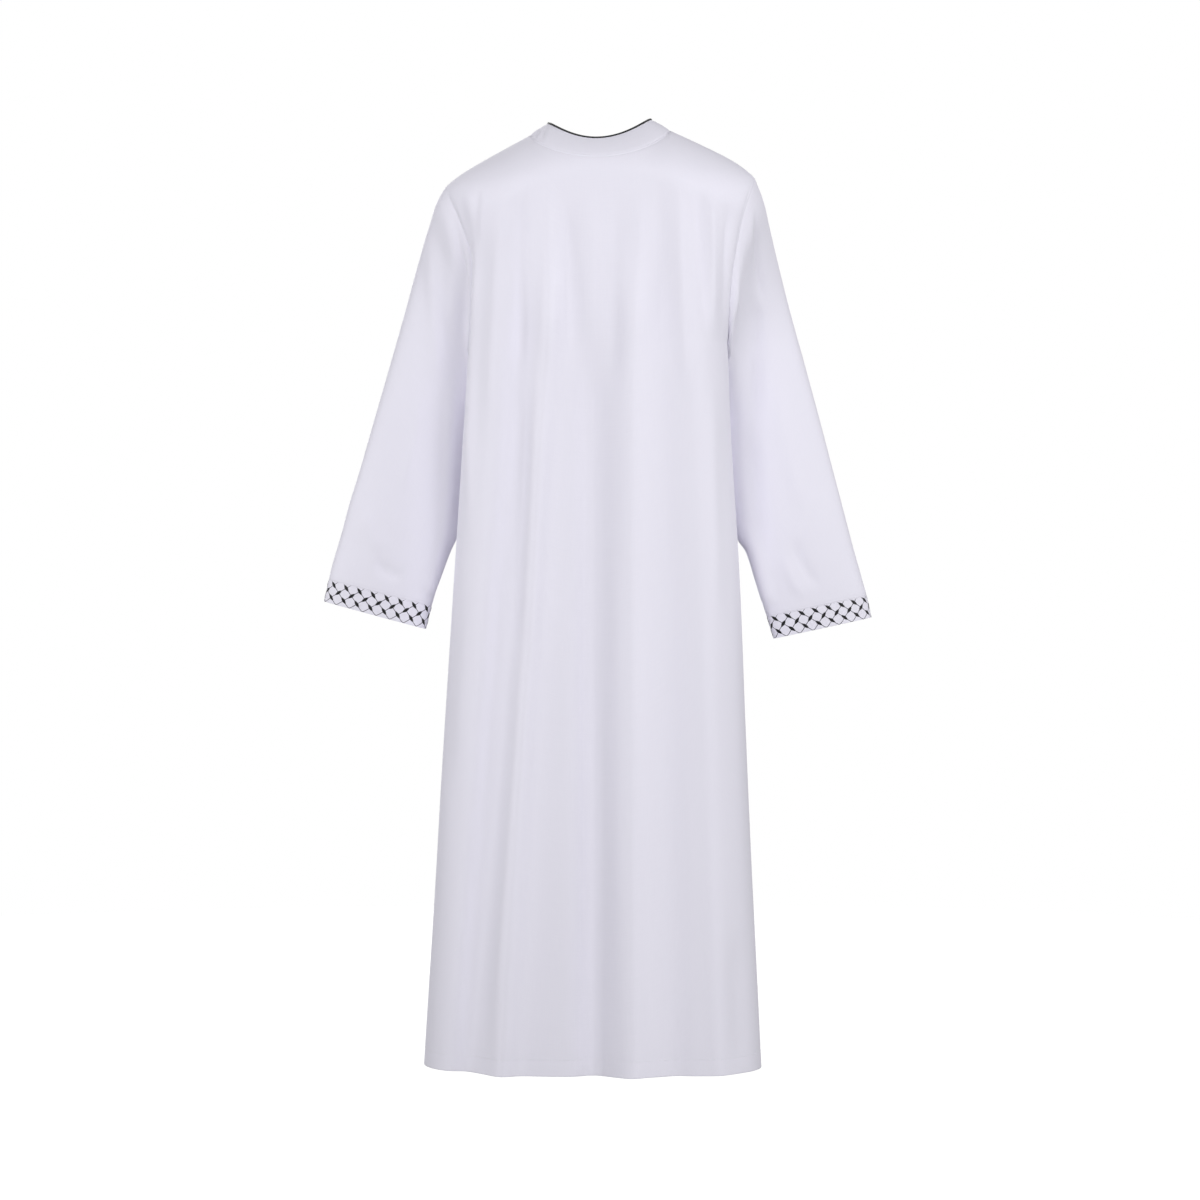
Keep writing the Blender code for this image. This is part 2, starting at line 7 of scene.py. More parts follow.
import bpy
import numpy as np
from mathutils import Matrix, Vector


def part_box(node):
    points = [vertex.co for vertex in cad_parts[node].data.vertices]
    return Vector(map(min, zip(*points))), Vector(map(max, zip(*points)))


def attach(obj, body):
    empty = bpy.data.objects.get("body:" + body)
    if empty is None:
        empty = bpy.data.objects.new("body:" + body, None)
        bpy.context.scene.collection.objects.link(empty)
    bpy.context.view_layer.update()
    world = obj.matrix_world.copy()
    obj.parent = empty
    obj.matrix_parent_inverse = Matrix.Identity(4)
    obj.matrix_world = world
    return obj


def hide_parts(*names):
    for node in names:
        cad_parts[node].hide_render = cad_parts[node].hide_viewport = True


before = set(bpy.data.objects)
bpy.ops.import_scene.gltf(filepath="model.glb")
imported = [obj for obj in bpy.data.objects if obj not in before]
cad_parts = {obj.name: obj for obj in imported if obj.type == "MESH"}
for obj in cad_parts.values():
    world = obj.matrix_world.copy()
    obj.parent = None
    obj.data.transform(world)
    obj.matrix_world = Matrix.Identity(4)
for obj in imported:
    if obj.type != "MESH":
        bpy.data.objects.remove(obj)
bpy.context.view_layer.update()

LEFT, RIGHT = 1, -1
BACK, FRONT = 1, -1
SIDE_NAMES = {LEFT: "left", RIGHT: "right"}
FACE_NAMES = {BACK: "back", FRONT: "front"}
UP = np.array([0, 0, 1])


def in_metres(kind, rows, kept=()):
    """Named rows in metres of a table in millimetres, where columns in kept are no lengths."""
    named = []
    for row in rows:
        pairs = zip(kind._fields, row)
        named.append(kind(*(value if name in kept else value / 1000 for name, value in pairs)))
    return named


# Heights of the robe's levels.
UNDERARM_Z = -0.3135
HEM_Z = -1.391
HEM_RISE_TO_LEFT = 0.008

# The pattern's named lines: columns in each half panel, rows above and below the underarm.
SHOULDER_COLUMNS = 7
NECK_COLUMNS = 7
UPPER_ROWS = 10
SKIRT_ROWS = 17

# A panel's half runs from its side edge, 0, to its middle, 1, and meets the neck at NECK_FROM.
NECK_FROM = SHOULDER_COLUMNS / (SHOULDER_COLUMNS + NECK_COLUMNS)

# The shoulder seam of each side: a slope from the neck that rounds off at its outer end.
Shoulder = namedtuple("Shoulder", "neck_x neck_z point_x slope round_off")
SHOULDERS = {
    LEFT: Shoulder(0.0996, 0.001, 0.226, 0.55, 0.008),
    RIGHT: Shoulder(0.111, 0.0085, 0.2385, 0.468, 0.0125),
}
SHOULDER_SEAM_Y = -0.005
# Where both shoulder lines, carried on over the neck, would meet.
SHOULDER_CAP_Z = 0.0315

# How low each neckline falls in the middle, and the power of its fall from the sides.
NECKLINE_MIDDLE_Z = {BACK: -0.0435, FRONT: -0.085}
NECKLINE_FALL = 1.3

# The collar's top edge: half width and height at each side, then depth and height at each face.
COLLAR_SIDE_X = {LEFT: 0.0735, RIGHT: 0.084}
COLLAR_SIDE_Z = {LEFT: 0.018, RIGHT: 0.024}
COLLAR_DEPTH = {BACK: 0.08, FRONT: 0.064}
COLLAR_MIDDLE_Z = {BACK: -0.0135, FRONT: -0.056}
COLLAR_BULGE = 0.002
COLLAR_LAP_COLUMNS = 0.55
PIPING_RADIUS = 0.0019

# Level sections of the body, in millimetres, by height: half widths of the two sides, depths of the
# two faces, and how round the section is: 2 is an ellipse, less is a lens, and more is squarer.
BodySection = namedtuple("BodySection", "z left right back front roundness")
BODY_ROWS = [
    (0, 178, 185, 108, 98, 2.5), (-60, 179, 187, 117, 108, 2.6), (-150, 180, 189, 122, 114, 2.75),
    (-313.5, 188.4, 197.1, 123, 113, 2.75), (-450, 198.5, 202.5, 119, 108, 2.7),
    (-621, 210, 213, 117, 108, 2.7), (-846, 224, 222.5, 121, 113, 2.65), (-1146, 242, 235.5, 133, 127, 2.6),
    (-1391, 257.5, 247.5, 147, 141, 2.5),
]
BODY = in_metres(BodySection, BODY_ROWS, ["roundness"])

# The front is rounder, so that it leaves the side seams more slowly.
ROUNDNESS_SHARE = {BACK: 1.0, FRONT: 0.8}

# The armhole, from the shoulder point, 0, to the underarm, 1: how far its edge has come from the
# shoulder point's x to the body's side.
ArmholeEdge = namedtuple("ArmholeEdge", "down left right")
ARMHOLE_ROWS = [(0, 0, 0), (0.25, 0.553, 0.412), (0.45, 0.905, 0.634), (0.72, 0.96, 0.875), (1, 1, 1)]
ARMHOLE = [ArmholeEdge(*row) for row in ARMHOLE_ROWS]
# How full its curve is seen from the side, and its depth on each face and side.
ARMHOLE_ROUNDNESS = 3.4
ARMHOLE_DEPTH = {(BACK, LEFT): 0.05, (BACK, RIGHT): 0.066, (FRONT, LEFT): 0.058, (FRONT, RIGHT): 0.058}

# How the panels round over from the shoulder line, by distance from the middle: the bend's height
# on each face, and the power that fills it, smaller for a fuller bend.
Bend = namedtuple("Bend", "x back front power")
BENDS = [Bend(0.0, 0.1, 0.17, 0.75), Bend(0.105, 0.096, 0.125, 0.64), Bend(0.235, 0.08, 0.08, 0.52)]

# Long soft folds that hang from the shoulders, in millimetres: ridges, or troughs with a depth below 0.
Fold = namedtuple("Fold", "top_x top_z low_x low_z half_width depth")
FOLD_ROWS = {
    BACK: [
        (62, -150, 140, -1400, 20, 11.5), (100, -180, 192, -1400, 20, -11), (8, -260, 3, -1400, 22, -10.5),
        (-50, -140, -53, -1400, 20, 8.5), (-94, -140, -118, -1400, 22, -6),
        (-150, -180, -186, -1400, 23, 6.5),
    ],
    FRONT: [
        (66, -200, 90, -1400, 25, -9), (112, -260, 150, -1400, 26, 8.5), (30, -550, 34, -1400, 24, 7),
        (-58, -240, -52, -1400, 26, -8.5), (-96, -180, -118, -1400, 24, 7.5),
        (-150, -300, -182, -1400, 24, -7),
    ],
}
FOLDS = {face: in_metres(Fold, rows) for face, rows in FOLD_ROWS.items()}
FOLD_FADE = 0.15
FOLD_GAIN_TO_HEM = 1.9

# Sections across each sleeve, by share of its length: the ends of the section on the sleeve's outer
# line and on its underarm line, its half depth, and how far its middle is set back, in millimetres.
SleeveSection = namedtuple("SleeveSection", "along outer_x outer_z inner_x inner_z half_depth back_y")
SLEEVE_ROWS = {
    LEFT: [
        (0.0, 226, -78.5, 188.4, -313.5, 60, 0), (0.05, 238.5, -99, 192.5, -324, 58, -9),
        (0.12, 252, -135, 190.7, -340, 51, -34), (0.22, 269.5, -189, 184.7, -369, 46, -55),
        (0.34, 290, -261, 183.2, -414, 43, -64), (0.46, 313, -339, 187.2, -468, 42, -67),
        (0.6, 337.5, -423, 195.5, -531, 41, -66), (0.74, 363, -513, 210.5, -600, 39, -62),
        (0.8, 373.5, -548, 220.5, -622, 38, -60), (0.87, 384.5, -591, 234.5, -660, 36, -58),
        (1.0, 405, -664.5, 249, -704, 33, -56), (1.05, 412.5, -698, 258, -739.8, 32, -56),
    ],
    RIGHT: [
        (0.0, 238.5, -63.5, 197.1, -313.5, 60, 0), (0.05, 251, -96, 201.2, -324, 58, -9),
        (0.12, 262, -133.5, 199, -340, 52, -34), (0.22, 277.5, -189, 195, -369, 46, -61),
        (0.34, 297, -261, 190.5, -414, 42, -76), (0.46, 318.5, -339, 190.5, -468, 42, -77),
        (0.6, 341, -423, 199, -534, 41, -72), (0.74, 365.5, -516, 215, -605, 39, -64),
        (0.8, 375.5, -554, 227.5, -624, 38, -61), (0.87, 389, -606, 241.5, -668, 36, -58),
        (1.0, 411, -688.5, 258, -720, 33, -56), (1.05, 418.5, -722.2, 268.5, -754.2, 32, -56),
    ],
}
SLEEVES = {side: in_metres(SleeveSection, rows, ["along"]) for side, rows in SLEEVE_ROWS.items()}
CUFF_END = 1.05
# The power that fills a sleeve's section: 1 is an ellipse, and less is fuller near both lines.
SLEEVE_FULLNESS = 0.68
# How far forward a sleeve's outer line lies, and its inner one back.
SLEEVE_LEAN = {LEFT: 0.0, RIGHT: 0.012}
# The share of a sleeve's length over which it takes up the armhole's own curve.
ARMHOLE_FADE = 0.4

# The placket's half width in columns, its first row, and its rows below the underarm.
PLACKET_HALF_COLUMNS = 0.72
PLACKET_FIRST_ROW = 0.6
PLACKET_SKIRT_ROWS = 2

# How finely each part of the pattern is divided, in steps between the named lines of the form.
COLUMN_STEPS = 5
UPPER_STEPS = 6
SKIRT_STEPS = 12
EDGE_SHARES = (0.2, 0.5)
SLEEVE_STATIONS = 118
CUFF_STATIONS = 16
COLLAR_STATIONS = 20
PLACKET_GRID = (150, 25)
# The powers that crowd rows towards the shoulder and stations towards the armhole.
UPPER_CROWDING = 1.35
SLEEVE_CROWDING = 1.15

# Cloth and seams, in metres: a seam or a row of stitches draws the cloth in just beside it.
CLOTH = 0.0007
DOUBLE_CLOTH = 0.0016
HEM_FOLD = 0.024
# The share of its rectangle that a cut piece covers at most.
LARGEST_SHARE = 0.999
SEAM_DIP = 0.0008
SEAM_DIP_IN = 0.0016
SEAM_DIP_REACH = 0.001
# A row of stitches through folded cloth draws it in by a share of that.
HEM_DIP = 0.4
CUFF_DIP = 0.6
COLLAR_TOP_DIP = 0.5
PLACKET_EDGE_DIP = 0.5
PLACKET_STITCH_DIP = 0.25
# Creases and unevenness fade out this near to an edge and to an armhole.
EDGE_CALM = 0.03
ARMHOLE_CALM = 0.035

# Creases pressed into each piece's back and front, in millimetres: soft ridges, or troughs with
# a depth below 0. bow curves one sideways. lean sharpens its +X side, above 0, or its -X side.
Crease = namedtuple("Crease", "x0 z0 x1 z1 half_width depth bow lean", defaults=(0, 0))
# These run along the armholes, over panel and sleeve alike.
ARMHOLE_CREASES = {
    LEFT: [(204, -80, 197, -330, 10, -11), (177, -90, 190, -600, 8, 6.6)],
    RIGHT: [(-197, -90, -192, -310, 5.5, -2.6, 3), (-213, -100, -206, -300, 6, 2.6, 3)],
}
BODY_CREASES = {
    BACK: [
        *ARMHOLE_CREASES[LEFT],
        *ARMHOLE_CREASES[RIGHT],
        (174, -80, 178, -185, 7, -3, 2, 0.3), (139, -80, 156, -480, 12, 3.6),
        (104, -60, 108, -400, 12, -4.8, 3), (72, -60, 70, -380, 11, 4.6), (41, -80, 36, -380, 11, -4.2),
        (9, -80, 8, -360, 11, 3.8), (-34, -80, -26, -420, 12, -3.4, 2), (-65, -80, -58, -360, 11, 3),
        (-94, -70, -96, -360, 11, -3), (-120, -70, -130, -400, 10, 3.2), (-152, -70, -160, -320, 8, -3.2),
        (-172, -80, -174, -320, 7, 3.2), (104, -340, 126, -820, 11, -5.2), (78, -340, 100, -820, 11, 5.6),
        (118, -660, 174, -1400, 11, -3.4), (92, -660, 150, -1400, 11, 3.6), (13, -560, 11, -1400, 9, -3.4),
        (-30, -560, -37, -1400, 11, 2.6), (200, -660, 222, -1000, 11, -2.2, 2),
        (-172, -340, -180, -760, 11, 3, 2), (-205, -1180, -215, -1400, 16, -2),
    ],
    FRONT: [
        (172, -85, 180, -215, 7.5, -4, 3, 0.3), (-180, -80, -196, -220, 7.5, -3.6, -3),
        (120, -110, 165, -260, 10, 2.2, -6), (-126, -105, -172, -270, 10, 2.2, 6),
        (150, -220, 186, -330, 6, -2.2), (-156, -230, -192, -335, 6, -2.2),
        (24, -460, 60, -800, 12, 2.8, 4), (-22, -455, -36, -760, 11, -2.6, -3),
        (196, -430, 206, -760, 11, -2.4, 2), (-190, -420, -198, -800, 11, -2.2, -2),
        (170, -1100, 196, -1400, 15, 3.2), (-80, -950, -92, -1400, 12, -3, 0, 0.3),
    ],
}
SLEEVE_CREASES = {
    LEFT: {
        BACK: [
            *ARMHOLE_CREASES[LEFT],
            (250, -120, 238, -380, 12, 4.2), (336, -636, 286, -664, 11, -3, 4),
            (352, -560, 318, -628, 12, 2, 4), (262, -360, 300, -560, 14, 2.2, -6),
            (214, -340, 228, -640, 12, 5.2), (222, -570, 262, -720, 11, 4.5),
        ],
        FRONT: [
            (300, -380, 224, -450, 12, -3.6, 10), (316, -430, 240, -520, 11, 3, 12),
            (322, -500, 232, -560, 10, -3, 8), (240, -140, 206, -300, 8.5, -2.8, 8),
            (365, -600, 290, -650, 11, -2.2, 4),
        ],
    },
    RIGHT: {
        BACK: [
            *ARMHOLE_CREASES[RIGHT],
            (-238, -108, -258, -262, 5.5, -4.2, 3, -0.3), (-240, -130, -240, -470, 15, -6.6),
            (-208, -180, -206, -420, 11, 3), (-250, -250, -244, -330, 7, -2),
            (-292, -600, -338, -682, 9, -2.6, 4), (-276, -620, -318, -700, 8, 1.8, 4),
            (-272, -360, -318, -580, 14, 2.2, 6), (-232, -420, -252, -650, 15, -5),
            (-228, -580, -270, -735, 11, 4.5),
        ],
        FRONT: [
            (-306, -390, -230, -450, 12, -3.6, -10), (-326, -450, -246, -530, 11, 3, -12),
            (-330, -520, -240, -570, 10, -3, -8), (-252, -150, -216, -300, 8.5, -2.8, -8),
        ],
    },
}
COLLAR_CREASES = {
    BACK: [
        (80, 14, 93, -12, 2.2, -2.2, 1), (74, 12, 82, -16, 2.4, -2, 1), (68, 10, 72, -22, 2.6, 0.9),
    ],
    FRONT: [(-60, -4, -74, -34, 3, -1.2, -2)],
}
# The share of its length over which a crease fades at each end, and what is left of it, before
# easing, where the cloth faces sideways.
CREASE_FADE = 0.3
CREASE_TURN = 0.2

# The sleeve swells towards the body's side seam at this height, to narrow the slot between them.
SWELL_Z = -0.316
SWELL_REACH = 0.045
SWELL_HEIGHT = 0.0052
SWELL_START = 0.008

# Slow unevenness of hanging cloth: waves to a metre across and down, a phase and a height.
RIPPLES = [
    (5.3, 1.1, 0.4, 0.0005), (8.7, -0.7, 2.1, 0.00035), (3.1, 2.3, 4, 0.00045), (13, 1.9, 5.2, 0.00018),
    (19, -2.6, 1.3, 0.0001),
]
# A sleeve's share of it, and how wide the sleeve counts for its waves.
SLEEVE_RIPPLE = 0.8
SLEEVE_RIPPLE_WIDTH = 0.1

# The collar's lap: its tab, where its rise starts and how long that is, in laps, and its height.
COLLAR_TAB_LAPS = 2.4
COLLAR_RISE_FROM = 3.2
COLLAR_RISE_LAPS = 1.6
COLLAR_LAP_RISE = 0.0022
PLACKET_RISE = 0.0004

# Topstitching, drawn a little coarser than real thread so that it shows.
STITCH_PITCH = 0.0032
STITCH_LENGTH = 0.0024
STITCH_WIDTH = 0.0005
STITCH_RISE = 0.00012
# One stitch: places and widths along it, a ring across it, and the two faces that close its ends.
STITCH_SHAPE = np.array([[-1.0, 0.25], [-0.6, 0.9], [0.0, 1.0], [0.6, 0.9], [1.0, 0.25]])
STITCH_RING = np.array([[0, 1], [-1, 0], [0, -0.6], [1, 0]])
STITCH_ENDS = [[3, 2, 1, 0], [16, 17, 18, 19]]

# Buttons: rings by share of the radius and of the height, and whether a ring dips into the holes.
BUTTON_RADIUS = 0.0055
BUTTON_HEIGHT = 0.0024
BUTTON_RISE = 0.0003
BUTTON_TURNS = 48
BUTTON_PROFILE = [
    (0.6, 0, 0), (0.92, 0.1, 0), (1, 0.35, 0), (1, 0.62, 0), (0.96, 0.9, 0), (0.9, 1, 0),
    (0.82, 1, 0), (0.74, 0.88, 0), (0.66, 0.72, 1), (0.56, 0.66, 1), (0.5, 0.65, 1),
    *((share, 0.64, 1) for share in (0.44, 0.39, 0.34, 0.29, 0.24, 0.19, 0.12, 0.05)),
]
BUTTON_DISH = 0.002
HOLE_PLACE = 0.0013
HOLE_RADIUS = 0.0007
HOLE_DEPTH = 0.0012
THREAD_RADIUS = 0.00028
# The strands of its cross: points, sides, how far each is off the middle, and where it sinks.
STRAND_POINTS = 9
STRAND_SIDES = 6
STRAND_BESIDE = 0.8 * THREAD_RADIUS
STRAND_SINK = 0.75

# A cord's width at its ends and the length of its tips, as shares of its radius.
CORD_END = 0.6
CORD_TIP = 0.4

# The cuff's woven net: floats on a square lattice that stands on its corner, in three rows.
NET_PITCH = 0.021
NET_START = {LEFT: 0.0032, RIGHT: -0.0016}
NET_ROW_STEP = 0.0098
NET_FIRST_ROW = 0.0064
NET_TAIL = 0.0056
NET_ARC_DEPTH = 0.009
NET_ARC_POWER = 1.3
NET_ARC_POINTS = 13
NET_LINE_POINTS = 26
NET_TAIL_WIDTH = 0.35
NET_THREAD = 0.0009
NET_THREAD_RISE = 0.00022
FLOAT_HALF_LENGTH = 0.0068
FLOAT_HALF_WIDTH = 0.0024
FLOAT_RISE = 0.00045
# A float's points along and across, the power that points it, and its least width at a tip.
FLOAT_GRID = (13, 5)
FLOAT_POINTING = 1.6
FLOAT_TIP = 0.03
DIAGONAL = 0.7071

# How far in from its edge each row of stitches runs, and the height of the placket's box.
COLLAR_STITCH_IN = 0.0022
SHOULDER_STITCH_IN = 0.004
CUFF_STITCH_IN = 0.002
PLACKET_STITCH_IN = 0.0035
PLACKET_BOX = 0.03
SIDE_POINTS = 120
BOX_POINTS = 20
# The piping stands on the collar's edge, this share of its radius above it.
PIPING_LIFT = 0.8
PIPING_SIDES = 12

# Cotton: bleached white with a cool cast. The threads are drawn two to three times as coarse as real.
COTTON_HEX = "EBE9F4"
COTTON_SHADE_HEX = "E4E2EE"
COTTON_ROUGHNESS = 0.85
THREAD = 0.0006
BORDER_THREAD = 0.0011

# The studio, pale all round.
CAMERA_PLACE = (-0.006, 5.0, -0.696)
CAMERA_LENS = 100.0
CAMERA_SENSOR = 36.0
AMBIENT = 0.258
# Square soft lights: name, place, aim, side and power.
LIGHTS = [
    ("key", (-1.8, 4.1, 0.8), (0, 0, -0.6), 1.4, 51.5),
    ("low_key", (-2.4, 4.0, -0.1), (0, 0, -0.5), 1.4, 23.0),
    ("high", (-2.9, 1.6, 2.7), (0, 0, -0.4), 1.4, 27.0),
    ("near", (0.85, 2.3, -0.15), (0.1, 0.0, -0.55), 1.0, 22.0),
    ("left", (4, 0, 0.4), (0, 0, -0.7), 1.4, 52.0),
    ("right", (-4, 0, 0.4), (0, 0, -0.7), 1.4, 36.0),
    ("front", (0.8, -3.8, 0.9), (0, 0, -0.5), 1.6, 90.0),
]
FLOOR_GLOW = 0.85
FLOOR_RADIUS = 4.0
FLOOR_Z = -1.52
FLOOR_SIDES = 96
FLOOR_COLOUR = (0.2, 0.2, 0.2, 1)


def read_table(rows, column, at):
    """One column of a table read at the values of its first column, as a smooth curve."""
    ordered = sorted(rows)
    keys = np.array([row[0] for row in ordered])
    values = np.array([getattr(row, column) for row in ordered])
    slopes = np.gradient(values, keys)
    at = np.clip(at, keys[0], keys[-1])
    i = np.clip(np.searchsorted(keys, at) - 1, 0, len(keys) - 2)
    span = keys[i + 1] - keys[i]
    t = (at - keys[i]) / span
    start = values[i] * (1 + 2 * t) * (1 - t) ** 2 + slopes[i] * span * t * (1 - t) ** 2
    end = values[i + 1] * t * t * (3 - 2 * t) + slopes[i + 1] * span * t * t * (t - 1)
    return start + end


def ease(value):
    """0 below 0 and 1 above 1, with an even rise between."""
    value = np.clip(value, 0.0, 1.0)
    return value * value * (3 - 2 * value)


def shoulder_height(side, x):
    """Height of the shoulder line at x from the middle: a cap over the neck, then the seam's slope."""
    seam = SHOULDERS[side]
    along = np.clip((x - seam.neck_x) / (seam.point_x - seam.neck_x), 0, 1)
    inwards = 1 - (x / seam.neck_x) ** 2
    rise = seam.slope * seam.neck_x / 2
    cap = rise * inwards + (SHOULDER_CAP_Z - seam.neck_z - rise) * inwards**2
    slope = -seam.slope * (x - seam.neck_x) - seam.round_off * along**6
    return seam.neck_z + np.where(x < seam.neck_x, cap, slope)


def top_edge(side, face, across):
    """Distance from the middle, and height, of the panel's top edge: shoulder seam, then neckline."""
    seam = SHOULDERS[side]
    along = np.clip(across / NECK_FROM, 0, 1)
    turn = np.clip((across - NECK_FROM) / (1 - NECK_FROM), 0, 1) * pi / 2
    x = (seam.point_x + (seam.neck_x - seam.point_x) * along) * np.cos(turn)
    seam_z = shoulder_height(side, np.maximum(x, seam.neck_x))
    return x, seam_z + (NECKLINE_MIDDLE_Z[face] - seam.neck_z) * np.sin(turn) ** NECKLINE_FALL


def fold_depth(face, x, z):
    """How far the long folds move the face out at a point."""
    total = np.zeros(np.broadcast(x, z).shape)
    for fold in FOLDS[face]:
        down = (fold.top_z - z) / (fold.top_z - fold.low_z)
        middle = fold.top_x + (fold.low_x - fold.top_x) * np.clip(down, 0, 1)
        strength = ease((fold.top_z - z) / FOLD_FADE) * (1 + (FOLD_GAIN_TO_HEM - 1) * down)
        total = total + fold.depth * strength * np.exp(-(((x - middle) / fold.half_width) ** 2))
    return total


def body_points(side, face, across, down):
    """Points of half a panel. across: 0 side edge, 1 middle. down: 0 top, 1 underarm, 2 hem."""
    top_x, top_z = top_edge(side, face, across)
    upper = np.clip(down, 0, 1) ** UPPER_CROWDING
    lower = np.clip(down - 1, 0, 1)
    z = top_z + (UNDERARM_Z - top_z) * upper + (HEM_Z - UNDERARM_Z) * lower

    # Sideways, a point runs from the top edge to its share of the section at the underarm.
    point_x = SHOULDERS[side].point_x
    point_z = shoulder_height(side, point_x)
    armhole_down = np.clip((point_z - z) / (point_z - UNDERARM_Z), 0, 1)
    armhole_in = read_table(ARMHOLE, SIDE_NAMES[side], armhole_down)
    roundness = read_table(BODY, "roundness", z) * ROUNDNESS_SHARE[face]
    section_x = read_table(BODY, SIDE_NAMES[side], z)
    share_x = np.cos(across * pi / 2) ** (2 / roundness)
    x = np.where(down <= 1, top_x + (section_x * share_x - top_x) * armhole_in, section_x * share_x)

    # The level section there: as wide as the body below the underarm, cut by the armhole above it.
    depth = read_table(BODY, FACE_NAMES[face], z)
    edge_x = point_x + (section_x - point_x) * armhole_in
    edge_y = ARMHOLE_DEPTH[face, side] * np.sqrt(np.clip(1 - armhole_down**ARMHOLE_ROUNDNESS, 0, 1))
    cut_width = edge_x / (1 - (edge_y / depth) ** roundness) ** (1 / roundness)
    half_width = np.where(down <= 1, cut_width, section_x)
    inside = np.clip(1 - (x / half_width) ** roundness, 0, 1)
    full_y = depth * inside ** (1 / roundness)

    # It rounds over towards the shoulder line.
    bend = np.clip((shoulder_height(side, x) - z) / read_table(BENDS, FACE_NAMES[face], x), 0, 1)
    over = np.sin(pi / 2 * bend) ** read_table(BENDS, "power", x)
    folded = fold_depth(face, side * x, z) * (full_y / depth) * over
    y = SHOULDER_SEAM_Y + (face * (full_y + folded) - SHOULDER_SEAM_Y) * over
    tilt = HEM_RISE_TO_LEFT * side * x * lower
    return np.stack(np.broadcast_arrays(side * x, y, z + tilt), axis=-1)


def sleeve_ring(side, along, turn):
    """One section of a sleeve, from its outer line round the back to the underarm line."""
    rows = SLEEVES[side]
    outer_x, outer_z, inner_x, inner_z, half_depth, back_y = (
        read_table(rows, column, along) for column in SleeveSection._fields[1:]
    )
    reach = np.cos(turn)
    x = (outer_x + inner_x) / 2 + (outer_x - inner_x) / 2 * reach
    z = (outer_z + inner_z) / 2 + (outer_z - inner_z) / 2 * reach
    bulge = half_depth * np.sign(np.sin(turn)) * np.abs(np.sin(turn)) ** SLEEVE_FULLNESS
    y = back_y - SLEEVE_LEAN[side] * reach + bulge
    return np.stack([side * x, y, z], axis=-1)


def unit(vectors):
    lengths = np.linalg.norm(vectors, axis=-1, keepdims=True)
    return vectors / np.maximum(lengths, 1e-12)


def add_creases(points, normals, creases):
    """How far each point moves along its normal for the creases placed on its face."""
    moved = np.zeros(points.shape[:-1])
    faced = [(face, crease) for face, rows in creases.items() for crease in in_metres(Crease, rows, ["lean"])]
    for face, crease in faced:
        run = np.array([crease.x1 - crease.x0, crease.z1 - crease.z0])
        length = np.linalg.norm(run)
        run = run / length
        x = points[..., 0] - crease.x0
        z = points[..., 2] - crease.z0
        along = (x * run[0] + z * run[1]) / length
        beside = x * -run[1] + z * run[0] - crease.bow * np.sin(pi * np.clip(along, 0, 1))
        width = crease.half_width * (1 + crease.lean * np.tanh(beside / crease.half_width))
        ends = ease(along / CREASE_FADE) * ease((1 - along) / CREASE_FADE)
        facing = ease(CREASE_TURN + face * normals[..., 1] * 2)
        moved += crease.depth * np.exp(-((beside / width) ** 2)) * ends * facing
    return moved


def ripple(u, v):
    """The cloth's slow unevenness at u across and v down, in metres."""
    moved = np.zeros(np.broadcast(u, v).shape)
    for across, down, phase, height in RIPPLES:
        moved += height * np.sin(2 * pi * (across * u + down * v) + phase)
    return moved


def grid_normals(grid, closed):
    """Unit normals of a grid, square to its rows and columns."""
    down = np.gradient(grid, axis=0)
    if closed:
        across = (np.roll(grid, -1, axis=1) - np.roll(grid, 1, axis=1)) / 2
    else:
        across = np.gradient(grid, axis=1)
    return unit(np.cross(down, across))


def place_in(rising, value):
    """The fractional place of a value in a rising list."""
    return np.interp(value, rising, np.arange(len(rising)))


def lengths_along(grid, axis):
    """Distance along each row or column of a grid, from its first point."""
    steps = np.linalg.norm(np.diff(grid, axis=axis), axis=-1)
    start = np.zeros_like(np.take(steps, [0], axis=axis))
    return np.cumsum(np.concatenate([start, steps], axis=axis), axis=axis)


def seam_dip(distance):
    """How far the cloth is drawn in beside a seam or a row of stitches at this distance."""
    return -SEAM_DIP * np.exp(-(((np.abs(distance) - SEAM_DIP_IN) / SEAM_DIP_REACH) ** 2))


class Cloth:
    """A grid of outside points, its places in the flat cut, and its normals away from the centre line."""

    def __init__(self, grid, closed, centre, wall=CLOTH):
        self.closed = closed
        self.wall = wall
        self.u = lengths_along(grid, 1)
        self.u = self.u - self.u[:, self.u.shape[1] // 2][:, None]
        self.v = lengths_along(grid, 0)
        outwards = np.sum(grid_normals(grid, closed) * (grid - centre[:, None]))
        self.way = 1 if outwards > 0 else -1
        self.shape_to(grid)

    def shape_to(self, grid):
        """Takes these outside points, and their normals."""
        self.grid = grid
        self.normals = grid_normals(grid, self.closed) * self.way

    def move(self, distance):
        """Moves each point out along its normal."""
        self.shape_to(self.grid + self.normals * distance[..., None])

    def flat_size(self):
        """Width, length and area of the cut, its area from its quads' diagonals."""
        ring = self.grid
        if self.closed:
            ring = np.concatenate([ring, ring[:, :1]], axis=1)
        width = lengths_along(ring, 1)[:, -1].max()
        length = lengths_along(ring, 0)[-1].max()
        falling = ring[1:, 1:] - ring[:-1, :-1]
        rising = ring[1:, :-1] - ring[:-1, 1:]
        area = np.linalg.norm(np.cross(falling, rising), axis=-1).sum() * 0.5
        return width, length, min(area, LARGEST_SHARE * width * length)

    def at(self, row, column):
        """The outside point and normal at a fractional row and column."""
        row = np.clip(row, 0, self.grid.shape[0] - 1.000001)
        count = self.grid.shape[1]
        column = np.mod(column, count) if self.closed else np.clip(column, 0, count - 1.000001)
        i, j = np.floor(row).astype(int), np.floor(column).astype(int)
        r, c = (row - i)[..., None], (column - j)[..., None]
        k = (j + 1) % count
        found = []
        for values in (self.grid, self.normals):
            top = values[i, j] * (1 - c) + values[i, k] * c
            low = values[i + 1, j] * (1 - c) + values[i + 1, k] * c
            found.append(top * (1 - r) + low * r)
        return found[0], unit(found[1])


